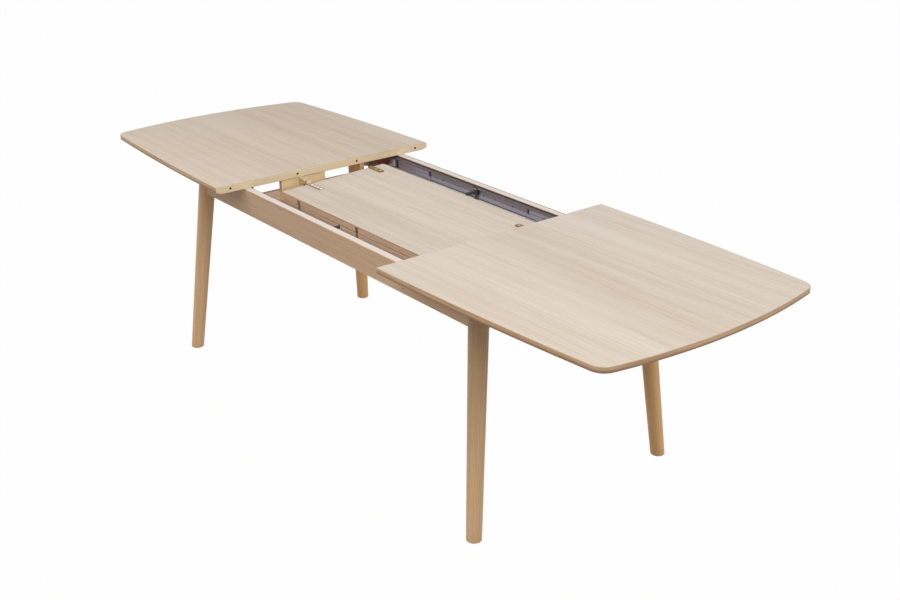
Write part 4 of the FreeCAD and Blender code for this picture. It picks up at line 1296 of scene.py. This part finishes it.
class TABLE_OT_slides(TablePiece, bpy.types.Operator):
    """Roll the telescopic slides"""

    bl_idname = "table.slides"
    bl_label = "Slides"

    @staticmethod
    def bent(slide, line, bend, steps):
        """The section of a sheet bent along a line and its mirror image."""
        line = line + [(d, -z) for d, z in line[::-1]]
        return sheet_section(rounded(line, bend, steps, closed=False), slide.sheet)

    def channel(self, slide, near, far, height):
        """The section of a lipped channel between two depths from the rail."""
        half = slide.sheet / 2
        side = height / 2 - half
        tip = height / 2 - slide.sheet - slide.lip
        line = [(far - half, -tip), (far - half, -side), (near + half, -side)]
        return self.bent(slide, line, slide.bend, 5)

    def hat(self, slide, height):
        """The section of the inner member, whose crown holds the runner."""
        step = slide.sheet + slide.gap
        half = slide.sheet / 2
        near, far = 2 * step, slide.width - 2 * step - half
        crown = slide.width + 0.0005 - half
        side = height / 2 - half
        neck = height / 2 - slide.lip - slide.gap - half
        line = [(near, side), (far, side), (far, neck), (crown, neck)]
        return self.bent(slide, line, slide.sheet * 0.6, 4)

    @staticmethod
    def holes(slide, start, end, screws):
        """Round and long holes in turn along a member, off its screws."""
        shapes = []
        x = start + slide.step * 0.6
        while x < end - slide.step * 0.4:
            count = round((x - start) / slide.step + 0.4)
            long = slide.hole * (1 if count % 3 else 2.6)
            if all(abs(x - place) > slide.keep_off for place in screws):
                box = rectangle(x - long, x + long, -slide.hole, slide.hole)
                shapes.append(rounded(box, slide.hole * 0.98, 6))
            x += slide.step
        return shapes

    @staticmethod
    def on_wall(sign):
        """Turns a place along a side rail, a height and a depth into a point."""
        return lambda x, z, d: Vector((x, sign * (RAIL_LOW.y - d), SLIDE_Z + z))

    def on_both(self, outline, near, far):
        """An outline drawn out between two depths on both rails."""
        return [prism(outline, near, far, self.on_wall(sy)) for sy in SIGNS]

    def drawn(self, section, sx, start, end, sign):
        """A section drawn out along one end of a rail."""
        place = self.on_wall(sign)
        return prism(section, sx * start, sx * end, lambda d, z, x: place(x, z, d))

    def roll(self, metal, slide):
        """Rolls the three members of every slide."""
        tall = FIXED_HIGH.z - FIXED_LOW.z
        step = slide.sheet + slide.gap
        through = slide.sheet * 1.3
        # the fixed members get painted shade on their upper halves
        steel = slide_steel(metal, "steel_fixed", 41, tall, dull=0.5)
        section = self.channel(slide, 0, slide.width, tall)
        span = (slide.start, FIXED_HIGH.x)
        shapes = self.holes(slide, *span, slide_screw_places(slide))
        shapes += [[(-x, z) for x, z in line] for line in shapes]
        for face, sy in FACES.items():
            parts = [self.drawn(section, sx, *span, sy) for sx in SIGNS]
            made = shell("slide_fixed_" + face, parts, steel)
            trim(made, [prism(line, -0.0006, through, self.on_wall(sy)) for line in shapes])
            stand_for(made, "frame", "dark_steel", "fixed_slides_" + face)
        steel = slide_steel(metal, "steel_middle", 42, tall)
        section = self.channel(slide, step, slide.width - step, tall - 2 * step)
        span = (MIDDLE_LOW.x, MIDDLE_HIGH.x)
        shapes = self.holes(slide, *span, [MIDDLE_LOW.x + 0.006])
        for side, sx in SIDES.items():
            parts = [self.drawn(section, sx, *span, sy) for sy in SIGNS]
            made = shell("slide_middle_" + side, parts, steel)
            turned = [[(sx * x, z) for x, z in line] for line in shapes]
            trim(made, [
                part for line in turned for part in self.on_both(line, step * 0.8, step + through)
            ])
            stand_for(made, side + "_middle", "dark_steel", "middle_slides_" + side)
        steel = slide_steel(metal, "steel_inner", 43, tall)
        section = self.hat(slide, tall - 4 * step)
        for side, sx in SIDES.items():
            parts = [self.drawn(section, sx, INNER_LOW.x, INNER_HIGH.x, sy) for sy in SIGNS]
            made = settle(shell("slide_inner_" + side, parts, steel))
            stand_for(made, side + "_top", "dark_steel", "inner_slides_" + side)

    def execute(self, context):
        scene = context.scene
        slide, small = scene.table_slide, scene.table_small
        self.roll(scene.table_metal, slide)
        rubber = moulded(small.bumper, "plastic_bumper", 45, rough=0.5)
        pale = moulded(small.cap, "plastic_cap", 46, rough=0.4)
        face = 2 * slide.sheet + slide.gap
        bumpers = (
            (INNER_LOW.x - slide.bumper_out, slide.cap, slide.bumper_half),
            (MIDDLE_LOW.x + 0.0004, slide.tab, slide.tab_drop),
        )
        for side, sx in SIDES.items():
            parts = []
            for x0, long, drop in bumpers:
                box = rectangle(sx * x0, sx * (x0 + long), -drop, slide.bumper_half)
                parts += self.on_both(rounded(box, slide.round, 4), face, face + slide.bumper)
            made = settle(shell("slide_pad_" + side, parts, rubber))
            stand_for(made, side + "_middle", "black_plastic")
            x0 = INNER_LOW.x - 0.0005
            box = rectangle(sx * x0, sx * (x0 + slide.cap), -slide.cap_half, slide.cap_half)
            box = rounded(box, slide.round, 4)
            parts = self.on_both(box, slide.cap_in, slide.width + 0.0002)
            made = soften(shell("slide_cap_" + side, parts, pale), 0.0006)
            stand_for(made, side + "_top", "pale_plastic")
        return {"FINISHED"}


class TABLE_OT_stops(TablePiece, bpy.types.Operator):
    """Mould the arms that part the left and right slides"""

    bl_idname = "table.stops"
    bl_label = "Centre Stops"

    def execute(self, context):
        slide = context.scene.table_slide
        material = moulded(context.scene.table_small.stop, "plastic_stop", 44)
        wall = RAIL_LOW.y
        high = FIXED_HIGH.z - slide.root_drop
        arm_high = high - slide.stop_height / 2

        def finger(sy, width, start, end, round_to, steps, levels):
            box = rectangle(-width / 2, width / 2, sy * (wall - start), sy * (wall - end))
            outline = rounded(box, [0, 0, round_to, round_to], steps)
            return [prism(outline, *levels, upright)]

        parts = []
        for sy in SIGNS:
            made = shell("stop", finger(
                sy, slide.root_width, 0, slide.root_depth, slide.root_width * 0.225, 6,
                (high - slide.root_height, high)
            ), material)
            trim(made, finger(
                sy, slide.stop_width, 0.002, slide.stop_reach, slide.stop_width * 0.48, 8,
                (arm_high - slide.stop_height, arm_high)
            ), "UNION")
            parts.append(soften(made, 0.001, 3))
        stand_for(one_object("stop_arms", parts), "frame", "black_plastic", "centre_stops")
        return {"FINISHED"}


class TABLE_OT_screws(TablePiece, bpy.types.Operator):
    """Set out the screws of the slides, the stops and the straps"""

    bl_idname = "table.screws"
    bl_label = "Screws"

    def execute(self, context):
        scene = context.scene
        metal, slide, fit = scene.table_metal, scene.table_slide, scene.table_fitting
        grow = screw_tree("cross_screws", 5)
        dark = plated(metal.dark, "dark_screw", 53, wear=0.2, metal=0.7, rough=0.34)
        zinc = plated(metal.zinc, "zinc_screw", 54, metal=0.5, rough=0.28)
        dull = plated(metal.slide, "dull_screw", 59, metal=0.5, rough=0.4)
        tan = plated(metal.rest_screw, "tan_screw", 60, metal=0.5, rough=0.34)
        pale = plated(metal.rivet, "brass_screw", 63, metal=0.3, rough=0.34)
        wall = RAIL_LOW.y - slide.sheet
        in_slides = [
            (Vector((sx * x, sy * wall, SLIDE_Z)), Vector((0, -sy, 0)))
            for x in slide_screw_places(slide) for sx, sy in QUARTERS
        ]
        root_y = RAIL_LOW.y - slide.root_depth + slide.stop_screw
        root_z = FIXED_HIGH.z - slide.root_drop
        in_stops = [(Vector((-slide.stop_screw_off, sy * root_y, root_z)), UP) for sy in SIGNS]
        turn = folded_leaf(fit)
        way = turn.to_3x3() @ -UP
        low = TOP_LOW.z - fit.strap_thick
        in_straps, in_rests = [], []
        for side, pivots, rests in (("left", 4, 2), ("right", 1, 1)):
            starts = strap_starts(fit)[side]
            for found, start, count, first, y in (
                (in_straps, starts[0], pivots, fit.screw_in, fit.pivot_y),
                (in_rests, starts[1], rests, fit.rest_screw_in, fit.rest_y),
            ):
                for i in range(count):
                    x = start + first * (1 + 2 * i)
                    found.append((turn @ Vector((SIDES[side] * x, -y, low)), way))
        face, level = BOARD_LOW.x - fit.plate, fit.pivot_z - fit.plate_screw
        in_plates = [
            (Vector((sx * face, -fit.pivot_y, level)), X_AXIS * -sx) for sx in SIGNS
        ]
        for name, places, material, rides, sizes in (
            ("slide_screw_set", in_slides, dark, ("frame", "bright_steel", "slide_screws"),
             {"head": fit.slide_screw, "dome": 0.00035}),
            ("stop_screw_set", in_stops, dull, ("frame", "bright_steel"),
             {"head": 0.0050, "dome": 0.0018, "recess": 0.0007}),
            ("strap_screw_set", in_straps, zinc,
             ("leaf_front", "bright_steel", "leaf_strap_screws"),
             {"head": fit.screw, "dome": 0.0034, "length": 0.012, "recess_depth": 0.0013}),
            ("rest_screw_set", in_rests, tan, ("leaf_front", "brass"),
             {"head": 0.0046, "dome": 0.0011, "length": 0.012, "recess_depth": 0.0009}),
            ("plate_screw_set", in_plates, pale, ("frame", "brass"),
             {"head": 0.0044, "dome": 0.0014, "length": 0.010, "recess": 0.0006}),
        ):
            stand_for(set_out(name, grow, places, sizes, material), *rides)
        return {"FINISHED"}


class TABLE_OT_straps(TablePiece, bpy.types.Operator):
    """Shape the leaf's straps, pivot pins and rest pegs"""

    bl_idname = "table.straps"
    bl_label = "Straps and Pivots"

    def straps(self, metal, fit, eye, lug):
        """The pivot straps with their bent ends, and the rest straps."""
        # the straps' rims get painted shade and their bent ends painted light
        steel = plated(
            metal.strap, "zinc_strap", 57, metal=0.4, rough=0.36, rim=metal.rim_shade, end=metal.bent_end_light
        )
        rest_brass = plated(metal.rest, "brass_rest", 58, wear=0.5, metal=0.8, rough=0.3)
        low, high = TOP_LOW.z - fit.strap_thick, TOP_LOW.z
        half = fit.strap / 2
        pivots, rests = [], []
        for side, sx in SIDES.items():
            start, rest_start = strap_starts(fit)[side]
            box = rectangle(sx * start, sx * lug[1], -fit.pivot_y - half, -fit.pivot_y + half)
            flat = rounded(box, [half * 0.85, 0.001, 0.001, half * 0.85], 8)
            made = shell("strap", [prism(flat, low, high, upright)], steel)
            box = rectangle(eye[0] - half * 0.96, eye[0] + half * 0.96, eye[1] - fit.lug, high)
            arch = rounded(box, [fit.lug * 0.8, fit.lug * 0.8, 0, 0], 10)
            trim(made, [prism(arch, sx * lug[0], sx * lug[1], along_x)], "UNION")
            # the eye stays closed on the leaf's side
            span = (sx * (lug[0] + 0.0008), sx * (lug[1] + 0.01))
            trim(made, [round_bar(eye, fit.pin * 1.0125, *span)])
            pivots.append(soften(made, 0.0005))
            box = rectangle(
                sx * rest_start, sx * (LEAF_HIGH.x + fit.rest_past),
                -fit.rest_y - fit.rest / 2, -fit.rest_y + fit.rest / 2
            )
            flat = prism(rounded(box, fit.rest * 0.46, 8), low, high, upright)
            rests.append(soften(shell("rest", [flat], rest_brass), 0.0006, 3))
        for name, parts, slot, node in (
            ("strap_pivots", pivots, "bright_steel", "leaf_pivot_straps"),
            ("strap_rests", rests, "brass", "leaf_rest_straps"),
        ):
            made = one_object(name, parts)
            made.data.transform(folded_leaf(fit))
            stand_for(made, "leaf_front", slot, node)

    def plates(self, metal, fit, eye, lug):
        """The plates on the pivot boards, each with its collar and pin."""
        brass = plated(metal.plate, "brass_plate", 52, metal=0.45, rough=0.34)
        top_z = fit.pivot_z + fit.lug
        box = rectangle(
            eye[0] - fit.plate_half, eye[0] + fit.plate_half, top_z - fit.plate_high, top_z
        )
        outline = rounded(box, fit.plate_corner, 5)
        face = BOARD_LOW.x
        plates = []
        for sx in SIGNS:
            plate = prism(outline, sx * face, sx * (face - fit.plate), along_x)
            made = shell("plate", [plate], brass)
            for radius, near, far, sides in (
                (fit.boss, lug[1] + 0.0035, face - 0.001, 40),
                (fit.pin, lug[0] + 0.001, face - 0.002, 32),
            ):
                trim(made, [round_bar(eye, radius, sx * near, sx * far, sides)], "UNION")
            plates.append(soften(made, 0.0008, 3))
        stand_for(one_object("pivot_bosses", plates), "frame", "brass", "pivot_pins")

    def pegs(self, metal, fit):
        """The bent pegs that the rest straps lie on."""
        zinc = plated(metal.zinc, "zinc_peg", 51, metal=0.5, rough=0.28)
        point = folded_leaf(fit) @ Vector((0, -fit.rest_y, TOP_LOW.z + 0.0002))
        x0 = LEAF_HIGH.x + fit.rest_past / 2
        bend = point.z - fit.peg_drop
        line = [(x0, point.z - fit.peg), (x0, bend), (BOARD_LOW.x + fit.peg_in, bend)]
        line = rounded(line, fit.peg_bend, 8, closed=False)
        paths = [[Vector((sx * x, point.y, z)) for x, z in line] for sx in SIGNS]
        made = settle(shell("rest_peg_pair", [tube(path, fit.peg) for path in paths], zinc))
        stand_for(made, "frame", "bright_steel", "rest_pegs")

    def execute(self, context):
        metal, fit = context.scene.table_metal, context.scene.table_fitting
        eye = (-fit.pivot_y, fit.pivot_z)
        start = LEAF_HIGH.x + fit.lug_gap
        lug = (start, start + fit.lug_thick)
        self.straps(metal, fit, eye, lug)
        self.plates(metal, fit, eye, lug)
        self.pegs(metal, fit)
        return {"FINISHED"}


class TABLE_OT_hinges(TablePiece, bpy.types.Operator):
    """Finish the leaf's hinges"""

    bl_idname = "table.hinges"
    bl_label = "Hinges"

    def execute(self, context):
        metal = context.scene.table_metal
        # the hinges' Y-facing sides get painted shade
        brass = plated(metal.brass, "brass_hinge", 55, rim=metal.hinge_rim_shade, end=metal.brass)
        dress(brass, "leaf_hinge_links", "leaf_front_hinge_plates", "leaf_back_hinge_plates")
        return {"FINISHED"}


class TABLE_OT_bolts(TablePiece, bpy.types.Operator):
    """Set out the bolts that hold the legs"""

    bl_idname = "table.bolts"
    bl_label = "Leg Bolts"

    def execute(self, context):
        leg = context.scene.table_leg
        zinc = plated(context.scene.table_metal.zinc, "zinc_bolt", 56, metal=0.8)
        low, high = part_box("corner_blocks")
        x, y, z = END_LOW.x - leg.bolt_in, RAIL_LOW.y - leg.bolt_in, (low.z + high.z) / 2
        places = [
            (Vector((sx * x, sy * y, z)), Vector((-sx, -sy, 0)).normalized())
            for sx, sy in QUARTERS
        ]
        grow = bolt_tree("leg_bolts", 7)
        made = set_out("leg_bolt_set", grow, places, {"length": leg.bolt}, zinc)
        stand_for(made, "frame", "bright_steel", "corner_bolts")
        return {"FINISHED"}


class TABLE_OT_pads(TablePiece, bpy.types.Operator):
    """Set out the rail glides and the felt pads under the legs"""

    bl_idname = "table.pads"
    bl_label = "Glides and Pads"

    def execute(self, context):
        small, leg = context.scene.table_small, context.scene.table_leg
        low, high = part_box("rail_glides")
        share = 1 - leg.pad / TOP_LOW.z
        glides = [
            (leg.head_x - leg.glide_near, RAIL_Y), (leg.head_x - leg.glide_far, RAIL_Y),
            (END_X, leg.head_y - leg.glide_end),
        ]
        feet = [(leg.head_x + leg.splay_x * share, leg.head_y + leg.splay_y * share)]
        plastic = moulded(small.glide, "plastic_glide", 61, rough=0.5)
        felt = felted(small.felt, "felt_pad", 62)
        grow = peg_tree("round_pads", 11)
        for name, spots, level, radius, long, edge, material, slot, node in (
            ("rail_glide_set", glides, (low.z + high.z) / 2, leg.glide_r, high.z - low.z, 0.0003,
             plastic, "pale_plastic", "rail_glides"),
            ("foot_pad_set", feet, leg.pad / 2, leg.pad_r, leg.pad, 0.0008,
             felt, "black_plastic", "foot_pads"),
        ):
            places = [
                (Vector((sx * x, sy * y, level)), UP) for sx, sy in QUARTERS for x, y in spots
            ]
            sizes = {"radius": radius, "length": long, "round": edge, "flute_depth": 0.0}
            stand_for(set_out(name, grow, places, sizes, material), "frame", slot, node)
        return {"FINISHED"}


# ---- stage ----
def floor_material(stage):
    """A floor that is white behind the table and keeps a faint shadow."""
    net = Net("stage_floor")
    speck = net.noise(net.place(), 60, 3, 0.5, 70)
    colour = net.mix(speck * 0.2, stage.floor, scaled(stage.floor, 0.97))
    plain = net.get("ShaderNodeBsdfDiffuse", {"Color": colour})
    glow = net.get("ShaderNodeEmission", {"Color": (1, 1, 1), "Strength": 1.0})
    share = net.seen("Camera", "Glossy", "Transmission") * 0.985
    return net.end(net.get("ShaderNodeMixShader", {0: share, 1: plain, 2: glow}))


def lamp(name, power, size, place, target):
    """A soft square lamp aimed at a point."""
    data = bpy.data.lights.new(name, "AREA")
    data.energy = power
    data.shape = "SQUARE"
    data.size = size
    made = shown(name, data)
    made.location = place
    made.rotation_euler = (Vector(target) - Vector(place)).to_track_quat("-Z", "Y").to_euler()


class TABLE_OT_stage(TablePiece, bpy.types.Operator):
    """Set the floor, the light and the camera"""

    bl_idname = "table.stage"
    bl_label = "Stage"

    def execute(self, context):
        scene = context.scene
        stage = scene.table_stage
        reach = stage.reach
        corners = [(x, y, 0) for x, y in rectangle(-reach, reach, -reach, reach)]
        shell("stage_floor", [(corners, [(0, 1, 2, 3)])], floor_material(stage))

        scene.world = bpy.data.worlds.new("studio")
        scene.world.use_nodes = True
        sky = Tree(scene.world.node_tree)
        inputs = {
            "Value": sky.seen("Camera", "Glossy"), "To Min": stage.world_power, "To Max": 1.0
        }
        level = sky.get("ShaderNodeMapRange", inputs)
        white = sky.get("ShaderNodeBackground", {"Color": (1, 1, 1), "Strength": level})
        sky.node("ShaderNodeOutputWorld", {0: white})

        lamp("key_lamp", stage.key_power, 2.6, (2.0, -1.7, 4.3), (0.2, 0, 0.6))
        lamp("fill_lamp", stage.fill_power, 2.4, (-1.6, -3.9, 3.7), (0, 0, 0.5))
        lamp("side_lamp", stage.side_power, 2.4, (4.4, 2.4, 1.6), (0, 0, 0.4))

        data = bpy.data.cameras.new("view_camera")
        data.sensor_width = 36.0
        data.lens = stage.camera_lens
        camera = shown("view_camera", data)
        level_way = Vector((math.cos(stage.camera_turn), math.sin(stage.camera_turn), 0))
        look = level_way * math.cos(stage.camera_dip) - UP * math.sin(stage.camera_dip)
        right = look.cross(UP).normalized()
        turn = Matrix((right, right.cross(look), -look)).transposed().to_4x4()
        roll = Matrix.Rotation(stage.camera_roll, 4, "Z")
        camera.matrix_world = Matrix.Translation(stage.camera_from) @ turn @ roll
        scene.camera = camera
        scene.view_settings.view_transform = "Standard"
        return {"FINISHED"}


class TABLE_PT_panel(bpy.types.Panel):
    """Lists the table's pieces and its sizes and colours"""

    bl_label = "Dining Table"
    bl_idname = "TABLE_PT_panel"
    bl_space_type = "VIEW_3D"
    bl_region_type = "UI"
    bl_category = "Dining Table"

    def draw(self, context):
        for piece in PIECES:
            self.layout.operator(piece.bl_idname)
        for name, group in GROUPS.items():
            box = self.layout.box()
            box.label(text=group.__doc__)
            for key in group.__annotations__:
                box.prop(getattr(context.scene, name), key)


GROUPS = {
    "table_oak": TableOak, "table_wood": TableWood, "table_metal": TableMetal,
    "table_small": TableSmall, "table_top": TableTop, "table_leg": TableLeg,
    "table_slide": TableSlide, "table_fitting": TableFitting, "table_stage": TableStage,
}
PIECES = (
    TABLE_OT_tops, TABLE_OT_dowels, TABLE_OT_leaf, TABLE_OT_legs, TABLE_OT_rails,
    TABLE_OT_inner, TABLE_OT_slides, TABLE_OT_stops, TABLE_OT_screws, TABLE_OT_straps,
    TABLE_OT_hinges, TABLE_OT_bolts, TABLE_OT_pads, TABLE_OT_stage,
)


def register():
    for name, group in GROUPS.items():
        bpy.utils.register_class(group)
        setattr(bpy.types.Scene, name, PointerProperty(type=group))
    for piece in (*PIECES, TABLE_PT_panel):
        bpy.utils.register_class(piece)


def unregister():
    for piece in (TABLE_PT_panel, *reversed(PIECES)):
        bpy.utils.unregister_class(piece)
    for name, group in reversed(list(GROUPS.items())):
        delattr(bpy.types.Scene, name)
        bpy.utils.unregister_class(group)


def main():
    register()
    for piece in PIECES:
        group, name = piece.bl_idname.split(".")
        getattr(getattr(bpy.ops, group), name)()


if __name__ == "__main__":
    main()
